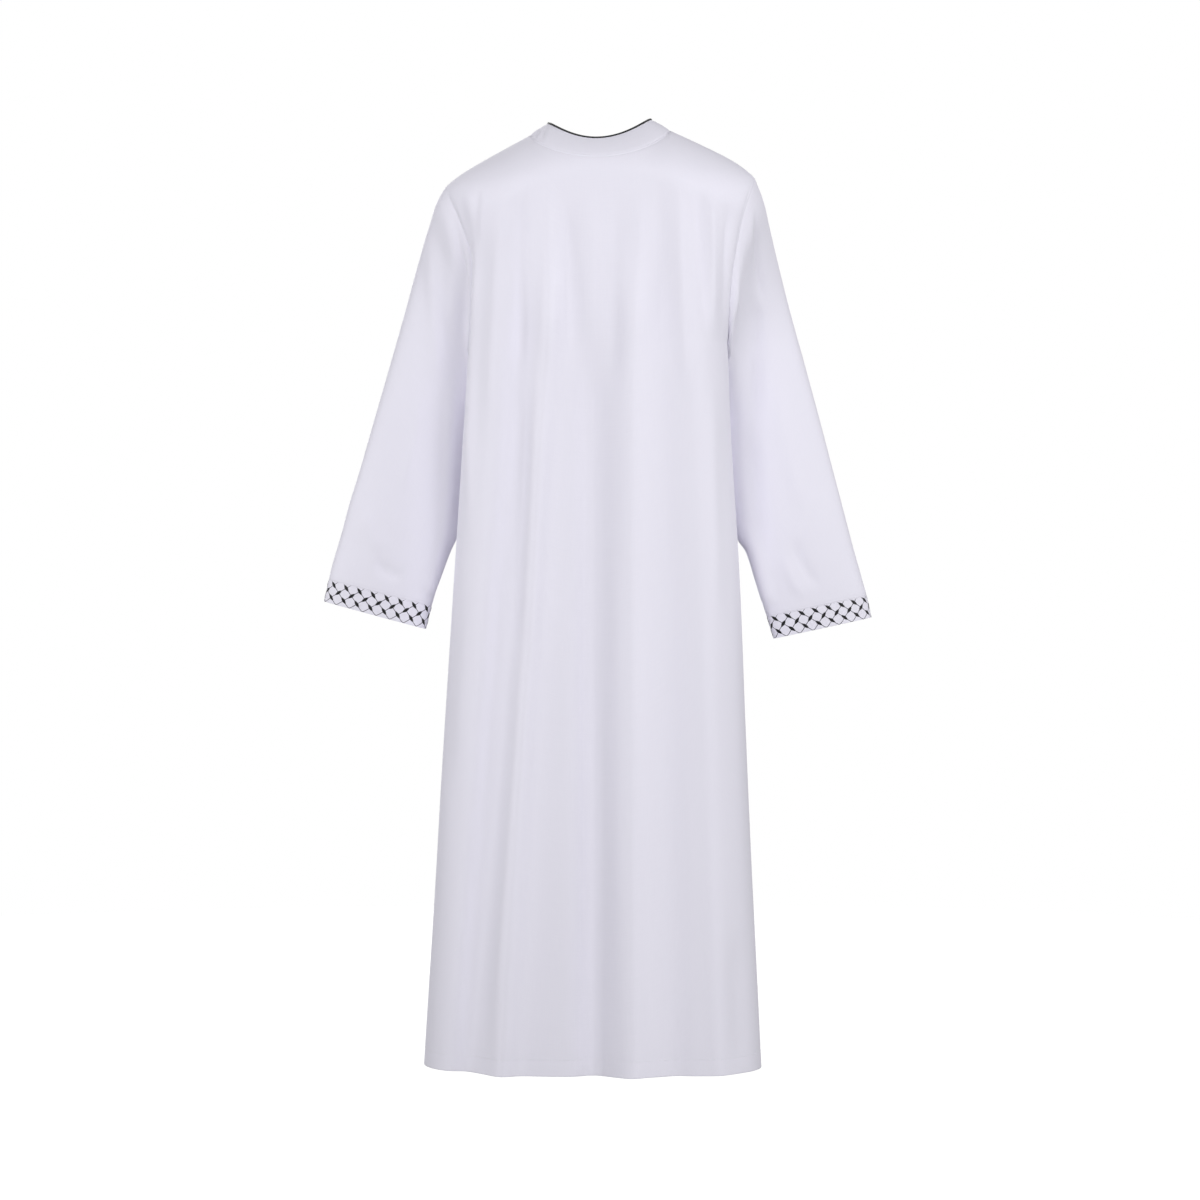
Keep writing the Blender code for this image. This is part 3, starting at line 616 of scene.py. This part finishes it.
def grid_quads(rows, columns, closed):
    """Corner numbers of a grid's quads, as an array."""
    i = np.arange(rows - 1)[:, None]
    j = np.arange(columns if closed else columns - 1)[None, :]
    k = (j + 1) % columns
    corners = [i * columns + j, (i + 1) * columns + j, (i + 1) * columns + k, i * columns + k]
    return np.stack(np.broadcast_arrays(*corners), axis=-1).reshape(-1, 4)


def add_object(name, data):
    """An object in the scene."""
    thing = bpy.data.objects.new(name, data)
    bpy.context.scene.collection.objects.link(thing)
    return thing


def add_mesh(name, points, faces, material, corner_uv=None):
    """A smooth-shaded object that rides on the robe's one body."""
    mesh = bpy.data.meshes.new(name)
    mesh.from_pydata(np.reshape(points, (-1, 3)).tolist(), [], faces)
    mesh.update()
    mesh.shade_smooth()
    if corner_uv is not None:
        layer = mesh.uv_layers.new(name="cut")
        layer.data.foreach_set("uv", corner_uv.ravel())
    mesh.materials.append(material)
    piece = add_object(name, mesh)
    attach(piece, "root")
    return piece


def joined(parts):
    """One list of points and one of faces, from pairs of them."""
    points, faces = [], []
    for part_points, part_faces in parts:
        faces.extend([corner + len(points) for corner in face] for face in part_faces)
        points.extend(part_points.reshape(-1, 3).tolist())
    return points, faces


def add_cloth(name, cloth, material):
    """The cloth as a closed thin shell: outside, inside and the cut edges between them."""
    rows, columns = cloth.grid.shape[:2]
    count = rows * columns
    inner = cloth.grid - cloth.normals * cloth.wall
    quads = grid_quads(rows, columns, cloth.closed)
    corners = np.arange(count).reshape(rows, columns)
    edges = [(corners[0], 1), (corners[-1], -1)]
    if cloth.closed:
        edges = [(np.append(edge, edge[0]), way) for edge, way in edges]
    else:
        edges += [(corners[:, 0], -1), (corners[:, -1], 1)]
    faces = [quads, quads[:, ::-1] + count]
    for edge, way in edges:
        rim = np.stack([edge[:-1], edge[1:], edge[1:] + count, edge[:-1] + count], axis=-1)
        faces.append(rim[:, ::way])
    faces = np.concatenate(faces)[:, :: cloth.way]
    cut = np.stack([cloth.u, cloth.v], axis=-1).reshape(-1, 2)
    corner_uv = cut[faces % count]
    if cloth.closed:
        across = corner_uv[..., 0]
        whole = cloth.u.max() - cloth.u.min()
        wraps = across.max(axis=1) - across.min(axis=1) > whole / 2
        corner_uv[..., 0] = np.where(wraps[:, None] & (across < 0), across + whole, across)
    return add_mesh(name, [cloth.grid, inner], faces.tolist(), material, corner_uv)


def refined(count, both_ends=True):
    """Even shares from 0 to 1, with more just inside an end, where a seam draws the cloth in."""
    shares = np.arange(count + 1) / count
    near = np.array(EDGE_SHARES) / count
    ends = [shares, near, 1 - near] if both_ends else [shares, near]
    return np.unique(np.concatenate(ends).round(9))


def panel_cloth(face):
    """The back or front panel, finely divided, with its folds and creases."""
    half = refined((SHOULDER_COLUMNS + NECK_COLUMNS) * COLUMN_STEPS, False)[None, :]
    down = np.concatenate([UPPER_DOWN, LOWER_DOWN])[:, None]
    left = body_points(LEFT, face, half, down)
    right = body_points(RIGHT, face, half, down)
    grid = np.concatenate([left, right[:, -2::-1]], axis=1)
    cloth = Cloth(grid, False, grid[:, 0] * UP)
    cloth.seams = grid
    cloth.half_shoulder = int(np.searchsorted(half[0], NECK_FROM - 1e-6))
    from_side = lengths_along(cloth.grid, 1)
    from_side = np.minimum(from_side, from_side[:, -1:] - from_side)
    calm = ease(from_side / EDGE_CALM) * ease(cloth.v / EDGE_CALM)
    moved = add_creases(cloth.grid, cloth.normals, BODY_CREASES)
    cloth.move((moved + ripple(grid[..., 0], grid[..., 2])) * calm)
    cloth.move(seam_dip(from_side) + seam_dip(cloth.v))
    from_hem = cloth.v[-1:] - cloth.v
    cloth.wall = np.where(from_hem < HEM_FOLD, DOUBLE_CLOTH, CLOTH)[..., None]
    cloth.move(seam_dip(from_hem - HEM_FOLD) * HEM_DIP)
    return cloth


def sleeve_cloths(side, back, front):
    """One sleeve and its cuff band, from rings that start on the two panels' armhole edges."""
    column = 0 if side == LEFT else -1
    rows = len(UPPER_DOWN)
    down_back = back.seams[:rows, column]
    up_front = front.seams[rows - 2 : 0 : -1, column]
    armhole = np.concatenate([down_back, up_front])
    turn = pi * np.concatenate([UPPER_DOWN, 2 - UPPER_DOWN[-2:0:-1]])
    start = sleeve_ring(side, 0, turn)

    def part(along, wall):
        fade = np.clip(1 - along / ARMHOLE_FADE, 0, 1)[:, None, None] ** 2
        grid = sleeve_ring(side, along[:, None], turn) + (armhole - start) * fade
        return Cloth(grid, True, grid.mean(axis=1), wall)

    sleeve = part(refined(SLEEVE_STATIONS) ** SLEEVE_CROWDING, CLOTH)
    cuff = part(1 + (CUFF_END - 1) * refined(CUFF_STATIONS), DOUBLE_CLOTH)
    from_end = sleeve.v[-1:] - sleeve.v
    calm = ease(sleeve.v / ARMHOLE_CALM) * ease(from_end / EDGE_CALM)
    moved = add_creases(sleeve.grid, sleeve.normals, SLEEVE_CREASES[side])
    wide = np.sin(2 * pi * np.arange(len(turn)) / len(turn)) * SLEEVE_RIPPLE_WIDTH
    moved = moved + ripple(wide, sleeve.v + side) * SLEEVE_RIPPLE
    beside_body = ease(-side * sleeve.normals[..., 0])
    from_swell = (sleeve.grid[..., 2] - SWELL_Z) / SWELL_REACH
    swell = SWELL_HEIGHT * beside_body * np.exp(-(from_swell**2))
    sleeve.move(moved * calm + swell * ease(sleeve.v / SWELL_START))
    sleeve.move(seam_dip(sleeve.v) + seam_dip(from_end) * CUFF_DIP)
    cuff.move(seam_dip(cuff.v) * CUFF_DIP)
    return sleeve, cuff


UPPER_DOWN = refined(UPPER_ROWS * UPPER_STEPS, False)
LOWER_DOWN = 1 + refined(SKIRT_ROWS * SKIRT_STEPS)[1:]


def collar_cloth(back, front):
    """The stand collar, its left end lapped over the right one."""
    first = back.half_shoulder
    middle = back.seams.shape[1] // 2
    left_front = front.seams[0, middle:first:-1]
    last = back.seams.shape[1] - 1 - first
    whole_back = back.seams[0, first:last]
    right_front = front.seams[0, last : middle - 1 : -1]
    neckline = np.concatenate([left_front, whole_back, right_front])
    steps = len(neckline) - 1
    turn = np.arange(steps + 1) * 2 * pi / steps - pi / 2
    side_x, side_z = (
        np.where(np.cos(turn) >= 0, edge[LEFT], edge[RIGHT]) for edge in (COLLAR_SIDE_X, COLLAR_SIDE_Z)
    )
    deep, low_z = (
        np.where(np.sin(turn) >= 0, edge[BACK], edge[FRONT]) for edge in (COLLAR_DEPTH, COLLAR_MIDDLE_Z)
    )
    dip = np.sin(turn) ** 2
    upper_y = SHOULDER_SEAM_Y + deep * np.sin(turn)
    upper = np.stack([side_x * np.cos(turn), upper_y, side_z * (1 - dip) + low_z * dip], axis=-1)
    lap = COLLAR_LAP_COLUMNS * COLUMN_STEPS
    places = np.linspace(-lap, steps - lap + lap * COLLAR_TAB_LAPS, steps + 1)
    shares = refined(COLLAR_STATIONS)[:, None, None]
    grid = between(neckline, places) * (1 - shares) + between(upper, places) * shares
    outwards = unit((grid - [0, SHOULDER_SEAM_Y, 0]) * [1, 1, 0])
    grid = grid + outwards * COLLAR_BULGE * np.sin(pi * shares)
    rises_from = steps - lap * COLLAR_RISE_FROM
    over = ease((places - rises_from) / (lap * COLLAR_RISE_LAPS))
    grid = grid + outwards * (COLLAR_LAP_RISE * over)[None, :, None]
    cloth = Cloth(grid, False, grid[:, 0] * UP + [0, SHOULDER_SEAM_Y, 0], DOUBLE_CLOTH)
    cloth.move(add_creases(cloth.grid, cloth.normals, COLLAR_CREASES))
    cloth.move(seam_dip(cloth.v) + seam_dip(cloth.v[-1:] - cloth.v) * COLLAR_TOP_DIP)
    cloth.button_column = place_in(places, steps)
    cloth.button_row = (len(grid) - 1) / 2
    return cloth


def row_at(downs, down):
    """The row at a distance from a cloth's top edge or, below 0, from its foot."""
    return place_in(downs, down + (downs[-1] if down < 0 else 0))


def between(loop, places):
    """Points on a closed loop at fractional places, which may run past either end."""
    steps = len(loop) - 1
    low = np.floor(places).astype(int)
    share = (places - low)[:, None]
    return loop[low % steps] * (1 - share) + loop[(low + 1) % steps] * share


def tube(path, radius, sides):
    """Points and faces of a round cord along a path, drawn in at its ends to short tips."""
    ahead = unit(np.gradient(path, axis=0))
    across = unit(np.cross(ahead, UP))
    upwards = np.cross(across, ahead)
    turn = (np.arange(sides) * 2 * pi / sides)[None, :, None]
    spokes = across[:, None] * np.cos(turn) + upwards[:, None] * np.sin(turn)
    width = np.full(len(path), radius)
    width[0] = width[-1] = radius * CORD_END
    rings = (path[:, None] + spokes * width[:, None, None]).reshape(-1, 3)
    tip = ahead * radius * CORD_TIP
    points = np.concatenate([rings, path[:1] - tip[:1], path[-1:] + tip[-1:]])
    faces = grid_quads(len(path), sides, True).tolist()
    last = (len(path) - 1) * sides
    for k in range(sides):
        m = (k + 1) % sides
        faces.append((len(rings), k, m))
        faces.append((len(rings) + 1, last + m, last + k))
    return points, faces


def resampled(path, spacing):
    """Places among a path's points that lie at an even spacing along it."""
    run = lengths_along(path, 0)
    count = max(2, int(round(run[-1] / spacing)))
    return place_in(run, np.linspace(0, run[-1], count + 1))


def add_stitches(name, cloth, runs):
    """Lockstitches on the cloth: runs lists the rows and columns that each line of them follows."""
    heights = STITCH_RISE * STITCH_SHAPE[:, 1]
    quads = grid_quads(len(STITCH_SHAPE), len(STITCH_RING), True)[:, ::-1]
    one_stitch = np.concatenate([quads, STITCH_ENDS]).tolist()
    parts = []
    for rows, columns in runs:
        rows, columns = np.broadcast_arrays(rows, columns)
        path, _ = cloth.at(rows, columns)
        places = resampled(path, STITCH_PITCH)
        index = np.arange(len(rows))
        path, normals = cloth.at(np.interp(places, index, rows), np.interp(places, index, columns))
        ahead = unit(np.gradient(path, axis=0))
        across = np.cross(normals, ahead)
        for spot, up, run, side in zip(path, normals, ahead, across):
            middle = spot + up * heights[:, None] + run * (STITCH_SHAPE[:, :1] * STITCH_LENGTH / 2)
            offset = STITCH_RING[:, :1] * side + STITCH_RING[:, 1:] * up
            widths = STITCH_SHAPE[:, 1, None, None] * STITCH_WIDTH / 2
            parts.append((middle[:, None] + offset * widths, one_stitch))
    piece = add_mesh(name, *joined(parts), sewing_thread)
    return piece


def placket_cloth(front):
    """The folded strip over the front opening, laid on the front panel."""
    middle = front.seams.shape[1] // 2
    reach = PLACKET_HALF_COLUMNS * COLUMN_STEPS
    columns = np.linspace(middle - reach, middle + reach, PLACKET_GRID[1])[None, :]
    last = len(UPPER_DOWN) - 1 + PLACKET_SKIRT_ROWS * SKIRT_STEPS
    rows = np.linspace(PLACKET_FIRST_ROW, last, PLACKET_GRID[0])[:, None]
    points, normals = front.at(*np.broadcast_arrays(rows, columns))
    raised = points + normals * (PLACKET_RISE + DOUBLE_CLOTH)
    cloth = Cloth(raised, False, points.mean(axis=1) * [1, 0, 1], DOUBLE_CLOTH)
    from_side = np.minimum(cloth.u - cloth.u[:, :1], cloth.u[:, -1:] - cloth.u)
    from_end = np.minimum(cloth.v, cloth.v[-1:] - cloth.v)
    cloth.move(seam_dip(np.minimum(from_side, from_end)) * PLACKET_EDGE_DIP)
    cloth.move(seam_dip(from_side - PLACKET_STITCH_IN) * PLACKET_STITCH_DIP)
    return cloth


def add_button(node, cloth, row, column):
    """A four-hole button: a raised lip, a dished middle, its holes and a cross of thread."""
    seat, facing = cloth.at(np.array(row), np.array(column))
    across = unit(np.cross(facing, UP))
    upwards = np.cross(across, facing)
    turn = np.arange(BUTTON_TURNS) * 2 * pi / BUTTON_TURNS
    out, high, holed = np.array(BUTTON_PROFILE).T[..., None]
    x, y = out * BUTTON_RADIUS * np.cos(turn), out * BUTTON_RADIUS * np.sin(turn)
    high = high * BUTTON_HEIGHT + BUTTON_RISE + np.zeros(x.shape)
    for side_x, side_y in ((1, 1), (-1, 1), (-1, -1), (1, -1)):
        away = np.hypot(x - side_x * HOLE_PLACE, y - side_y * HOLE_PLACE)
        high -= holed * HOLE_DEPTH * np.exp(-((away / HOLE_RADIUS) ** 6))

    def place(x, y, rise):
        return seat + across * x[..., None] + upwards * y[..., None] + facing * rise[..., None]

    faces = grid_quads(len(BUTTON_PROFILE), BUTTON_TURNS, True).tolist()
    last = (len(BUTTON_PROFILE) - 1) * BUTTON_TURNS
    faces += [list(range(BUTTON_TURNS)), list(range(last + BUTTON_TURNS - 1, last - 1, -1))]
    button = add_mesh(node + "_disc", place(x, y, high), faces, button_resin)
    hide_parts(node)
    strands = []
    along = np.linspace(-1, 1, STRAND_POINTS)
    sinks = np.maximum(0, np.abs(along) - STRAND_SINK) / (1 - STRAND_SINK)
    rise = BUTTON_DISH + THREAD_RADIUS - sinks * HOLE_DEPTH
    for lean in (1, -1):
        for beside in (-STRAND_BESIDE, STRAND_BESIDE):
            path = place(HOLE_PLACE * along + beside * lean, HOLE_PLACE * along * lean - beside, rise)
            strands.append(tube(path, THREAD_RADIUS, STRAND_SIDES))
    cross = add_mesh(node + "_disc_thread", *joined(strands), sewing_thread)


def add_net(name, side, cuff):
    """The woven net on a cuff band: black pointed floats on a lattice of thin dark threads."""
    ring = np.concatenate([cuff.grid, cuff.grid[:, :1]], axis=1)
    run = lengths_along(ring, 1)[len(ring) // 2]
    depth = cuff.v.mean(axis=1)

    def place(around, down, rise):
        points, normals = cuff.at(place_in(depth, down), place_in(run, np.mod(around, run[-1])))
        return points + normals * rise[..., None]

    count = int(round(run[-1] / NET_PITCH))
    pitch = run[-1] / count
    rows = [NET_FIRST_ROW + NET_ROW_STEP * k for k in range(3)]
    reach = np.linspace(-NET_TAIL / NET_ROW_STEP, 2, NET_LINE_POINTS)
    share = np.linspace(0, 1, NET_ARC_POINTS)
    arc = rows[2] + NET_ARC_DEPTH * (1 - np.abs(2 * share - 1) ** NET_ARC_POWER)
    floats, threads = [], []
    for k in range(count):
        start = NET_START[side] + pitch * k
        for number, down in enumerate(rows):
            shift = number % 2
            floats.append((start + pitch * 0.5 * shift, down, side * (1 - 2 * shift)))
        for lean in (1, -1):
            threads.append((start + lean * reach * pitch / 2, rows[0] + NET_ROW_STEP * reach))
        threads.append((start + pitch * share, arc))
    long = np.linspace(-1, 1, FLOAT_GRID[0])[:, None]
    wide = np.linspace(-1, 1, FLOAT_GRID[1])[None, :]
    half = FLOAT_HALF_WIDTH * np.clip(1 - np.abs(long) ** FLOAT_POINTING, FLOAT_TIP, 1)
    s = long * FLOAT_HALF_LENGTH * DIAGONAL
    t = wide * half * DIAGONAL
    rise = FLOAT_RISE * (1 - 0.75 * wide**2) * (1 - 0.6 * long**4)
    quads = grid_quads(*FLOAT_GRID, False)
    parts = []
    for around, down, lean in floats:
        spot = place(around + s - lean * t, down + lean * s + t, rise)
        parts.append((spot, quads[:, ::lean].tolist()))
    net = add_mesh(name + "_floats", *joined(parts), black_float)
    parts = []
    for around, down in threads:
        ahead = unit(np.stack([np.gradient(around), np.gradient(down)], axis=-1))
        taper = np.clip(NET_TAIL_WIDTH + (down - NET_FIRST_ROW + NET_TAIL) / NET_TAIL, 0, 1)
        width = np.array([[-1, 0, 1]]) * NET_THREAD / 2 * taper[:, None]
        s = around[:, None] - ahead[:, 1:] * width
        t = down[:, None] + ahead[:, :1] * width
        rise = np.array([0.3, 1, 0.3]) * NET_THREAD_RISE
        parts.append((place(s, t, rise), grid_quads(len(around), 3, False).tolist()))
    lines = add_mesh(name + "_threads", *joined(parts), grey_thread)
    return [net, lines]


def linear(hex_colour):
    """A colour written as sRGB hex, as Blender's linear values."""
    value = np.array([*bytes.fromhex(hex_colour)]) / 255
    found = np.where(value <= 0.04045, value / 12.92, ((value + 0.055) / 1.055) ** 2.4)
    return (*found, 1.0)


def add_node(tree, kind, values=None, links=None, **settings):
    """Adds a node: its settings, its sockets' plain values, and what feeds the others."""
    node = tree.nodes.new("ShaderNode" + kind)
    for name, value in settings.items():
        setattr(node, name, value)
    for socket, value in (values or {}).items():
        node.inputs[socket].default_value = value
    for socket, source in (links or {}).items():
        tree.links.new(source, node.inputs[socket])
    return node


def new_material(name, hex_colour, roughness, values):
    """A material with one Principled shader, and its tree."""
    material = bpy.data.materials.new(name)
    material.use_nodes = True
    tree = material.node_tree
    tree.nodes.clear()
    values = {"Base Color": linear(hex_colour), "Roughness": roughness, **values}
    shader = add_node(tree, "BsdfPrincipled", values)
    add_node(tree, "OutputMaterial", links={"Surface": shader.outputs["BSDF"]})
    return material, tree, shader


def mix_base(tree, shader, share, first_hex, second_hex):
    """Mixes the base colour from two by a share."""
    values = {6: linear(first_hex), 7: linear(second_hex)}
    mixed = add_node(tree, "Mix", values, {"Factor": share}, data_type="RGBA")
    tree.links.new(mixed.outputs[2], shader.inputs["Base Color"])


def raise_surface(tree, shader, strength, distance, height):
    """Raises the surface by a pattern of heights."""
    values = {"Strength": strength, "Distance": distance}
    raised = add_node(tree, "Bump", values, {"Height": height})
    tree.links.new(raised.outputs[0], shader.inputs["Normal"])


def math_node(tree, operation, first, second=0.0):
    """A Math node whose two inputs are outputs of other nodes or plain numbers."""
    values, links = {}, {}
    for socket, source in enumerate((first, second)):
        (values if isinstance(source, (int, float)) else links)[socket] = source
    return add_node(tree, "Math", values, links, operation=operation).outputs[0]


def woven_cotton(name, thread, bump):
    """Plain-woven combed cotton, bleached and pressed: matt, faintly fuzzy, its thread uneven."""
    finish = {"Specular IOR Level": 0.25, "Sheen Weight": 0.12, "Sheen Roughness": 0.6}
    material, tree, shader = new_material(name, COTTON_HEX, COTTON_ROUGHNESS, finish)
    cut = add_node(tree, "UVMap", uv_map="cut").outputs[0]
    place = add_node(tree, "SeparateXYZ", links={0: cut})
    threads, thickness = [], []
    for direction, stretch in enumerate(((900.0, 28.0, 1.0), (24.0, 800.0, 1.0))):
        turns = math_node(tree, "MULTIPLY", place.outputs[direction], pi / thread)
        threads.append(math_node(tree, "SINE", turns))
        stretched = add_node(tree, "Mapping", {"Scale": stretch}, {"Vector": cut})
        noise = {"Scale": 1.0, "Detail": 3.0}
        noise = add_node(tree, "TexNoise", noise, {"Vector": stretched.outputs[0]})
        thickness.append(noise.outputs[0])
    over = math_node(tree, "MULTIPLY", *threads)
    uneven = math_node(tree, "ADD", *thickness)
    mix_base(tree, shader, math_node(tree, "MULTIPLY", uneven, 0.5), COTTON_HEX, COTTON_SHADE_HEX)
    height = math_node(tree, "ADD", math_node(tree, "MULTIPLY", over, 0.6), uneven)
    raise_surface(tree, shader, bump, thread * 0.25, height)
    return material


def spun_thread(name, hex_colour, roughness, twist):
    """Mercerised cotton thread or cord: wound plies with a low lustre."""
    finish = {"Specular IOR Level": 0.35, "Sheen Weight": 0.2}
    material, tree, shader = new_material(name, hex_colour, roughness, finish)
    place = {"Vector": add_node(tree, "TexCoord").outputs["Object"]}
    wave = {"Scale": 1 / twist, "Distortion": 1.5, "Detail": 2.0}
    plies = add_node(tree, "TexWave", wave, place, bands_direction="DIAGONAL")
    raise_surface(tree, shader, 0.5, twist * 0.3, plies.outputs[1])
    return material


def pearl_resin(name, hex_colour):
    """Cast polyester with pearl flake: a smooth clouded gloss, polished on its lip."""
    finish = {"IOR": 1.56, "Coat Weight": 0.3, "Coat Roughness": 0.12}
    material, tree, shader = new_material(name, hex_colour, 0.28, finish)
    place = {"Vector": add_node(tree, "TexCoord").outputs["Object"]}
    noise = {"Scale": 420.0, "Detail": 3.0, "Distortion": 1.2}
    cloud = add_node(tree, "TexNoise", noise, place)
    mix_base(tree, shader, cloud.outputs[0], "DDDCE2", "F6F5F8")
    return material


white_cotton = woven_cotton("white_cotton_plain_weave", THREAD, 0.25)
border_cotton = woven_cotton("white_cotton_border_weave", BORDER_THREAD, 0.5)
sewing_thread = spun_thread("white_sewing_thread", "E6E5EC", 0.6, 0.0004)
black_float = spun_thread("black_cotton_float_thread", "08080C", 0.65, 0.0005)
grey_thread = spun_thread("dark_grey_cotton_thread", "3E3E48", 0.7, 0.0005)
black_piping = spun_thread("black_bias_covered_piping", "0A0A0F", 0.6, 0.0009)
button_resin = pearl_resin("pearl_white_polyester_button", "ECEAF0")

back = panel_cloth(BACK)
front = panel_cloth(FRONT)
collar = collar_cloth(back, front)
placket = placket_cloth(front)
sleeves = {side: sleeve_cloths(side, back, front) for side in (LEFT, RIGHT)}


def declare(name, cloth, node, held, rests_on, pieces=(), material=white_cotton, slot="white_cotton"):
    """Adds the cloth, hides its node's part, and works out the width, length and area of its cut."""
    piece = add_cloth(name, cloth, material)
    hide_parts(node)
    width, length, area = cloth.flat_size()


# The hem's row of stitches, and one beside each shoulder seam.
columns = np.arange(back.grid.shape[1])
hem_run = (row_at(back.v[:, 0], -HEM_FOLD), columns)
shoulder_row = row_at(back.v[:, back.half_shoulder // 2], SHOULDER_STITCH_IN)
shoulder = np.arange(back.half_shoulder)
shoulder_runs = [(shoulder_row, shoulder), (shoulder_row, columns[-1] - shoulder)]
back_thread = add_stitches("back_panel_topstitching", back, [hem_run, *shoulder_runs])
front_thread = add_stitches("front_panel_topstitching", front, [hem_run])
declare("back_panel_cloth", back, "back_panel", "hung", "collar", [back_thread])
declare("front_panel_cloth", front, "front_panel", "hung", "collar", [front_thread])

for side, (sleeve, cuff) in sleeves.items():
    name = SIDE_NAMES[side]
    trims = add_net(f"cuff_{name}_net", side, cuff)
    edge_run = (row_at(cuff.v.mean(axis=1), CUFF_STITCH_IN), np.arange(cuff.grid.shape[1] + 1))
    trims.append(add_stitches(f"cuff_{name}_topstitching", cuff, [edge_run]))
    declare(f"sleeve_{name}_cloth", sleeve, f"sleeve_{name}", "hung", "back_panel")
    weave = {"material": border_cotton, "slot": "bordered_cotton"}
    declare(f"cuff_{name}_band", cuff, f"cuff_{name}", "hung", f"sleeve_{name}", trims, **weave)

edge = collar.grid[-1] - collar.normals[-1] * DOUBLE_CLOTH / 2
rise = unit(collar.grid[-1] - collar.grid[-3])
path = edge + rise * PIPING_RADIUS * PIPING_LIFT
piping = add_mesh("collar_piping_cord", *tube(path, PIPING_RADIUS, PIPING_SIDES), black_piping)
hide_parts("collar_piping")
across = np.arange(1, collar.grid.shape[1] - 1)
collar_runs = [(row_at(collar.v[:, 0], down), across) for down in (COLLAR_STITCH_IN, -COLLAR_STITCH_IN)]
collar_thread = add_stitches("collar_topstitching", collar, collar_runs)
declare("collar_stand", collar, "collar", "stretched", "back_panel", [collar_thread, piping])

# Down both sides of the placket, then its box with a cross.
last_row, last_column = np.array(placket.grid.shape[:2]) - 1
inset = PLACKET_STITCH_IN / (placket.u[0, -1] - placket.u[0, 0]) * last_column
foot = last_row - row_at(placket.v[:, 0], PLACKET_STITCH_IN)
box = last_row - row_at(placket.v[:, 0], PLACKET_BOX)
down = np.linspace(1, foot, SIDE_POINTS)
wide = np.linspace(inset, last_column - inset, BOX_POINTS)
slope = np.linspace(box, foot, BOX_POINTS)
placket_runs = [(down, inset), (down, last_column - inset), (foot, wide), (box, wide)]
placket_runs += [(slope, wide), (slope[::-1], wide)]
placket_thread = add_stitches("placket_topstitching", placket, placket_runs)
declare("placket_strip", placket, "placket", "laid", "front_panel", [placket_thread])

heights = placket.grid[:, int(last_column / 2), 2]
for number in (1, 2, 3):
    low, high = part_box(f"button_{number}")
    row = place_in(-heights, -(low[2] + high[2]) / 2)
    add_button(f"button_{number}", placket, row, last_column / 2)
add_button("button_collar", collar, collar.button_row, collar.button_column)

scene = bpy.context.scene
scene.view_settings.view_transform = "Standard"
camera = add_object("camera", bpy.data.cameras.new("camera"))
camera.data.lens = CAMERA_LENS
camera.data.sensor_width = CAMERA_SENSOR
camera.location = CAMERA_PLACE
camera.rotation_euler = (pi / 2, 0.0, pi)
scene.camera = camera

for name, place, aim, size, power in LIGHTS:
    data = bpy.data.lights.new(name + "_softbox", "AREA")
    data.size = size
    data.energy = power
    light = add_object(data.name, data)
    light.location = place
    light.visible_camera = False
    light.rotation_euler = (Vector(aim) - Vector(place)).to_track_quat("-Z", "Y").to_euler()

world = bpy.data.worlds.new("studio")
scene.world = world
world.use_nodes = True
tree = world.node_tree
tree.nodes.clear()
seen = add_node(tree, "LightPath").outputs["Is Camera Ray"]
strength = math_node(tree, "ADD", math_node(tree, "MULTIPLY", seen, 1.0 - AMBIENT), AMBIENT)
sky = add_node(tree, "Background", {"Color": (1, 1, 1, 1)}, {"Strength": strength})
add_node(tree, "OutputWorld", links={"Surface": sky.outputs[0]})

# The floor is plain and matt, and glows as pale as the studio round it.
glow = {"Base Color": FLOOR_COLOUR, "Emission Color": (1, 1, 1, 1), "Emission Strength": FLOOR_GLOW}
floor_material = new_material("pale_studio_floor", "FFFFFF", 0.9, glow)[0]
turn = np.arange(FLOOR_SIDES) * 2 * pi / FLOOR_SIDES
rim = np.stack([np.cos(turn), np.sin(turn), 0 * turn], axis=-1) * FLOOR_RADIUS + [0, 0, FLOOR_Z]
floor_mesh = bpy.data.meshes.new("studio_floor")
floor_mesh.from_pydata(rim.tolist(), [], [list(range(FLOOR_SIDES))])
floor_mesh.materials.append(floor_material)
floor = add_object("studio_floor", floor_mesh)
floor.visible_diffuse = False
floor.visible_glossy = False
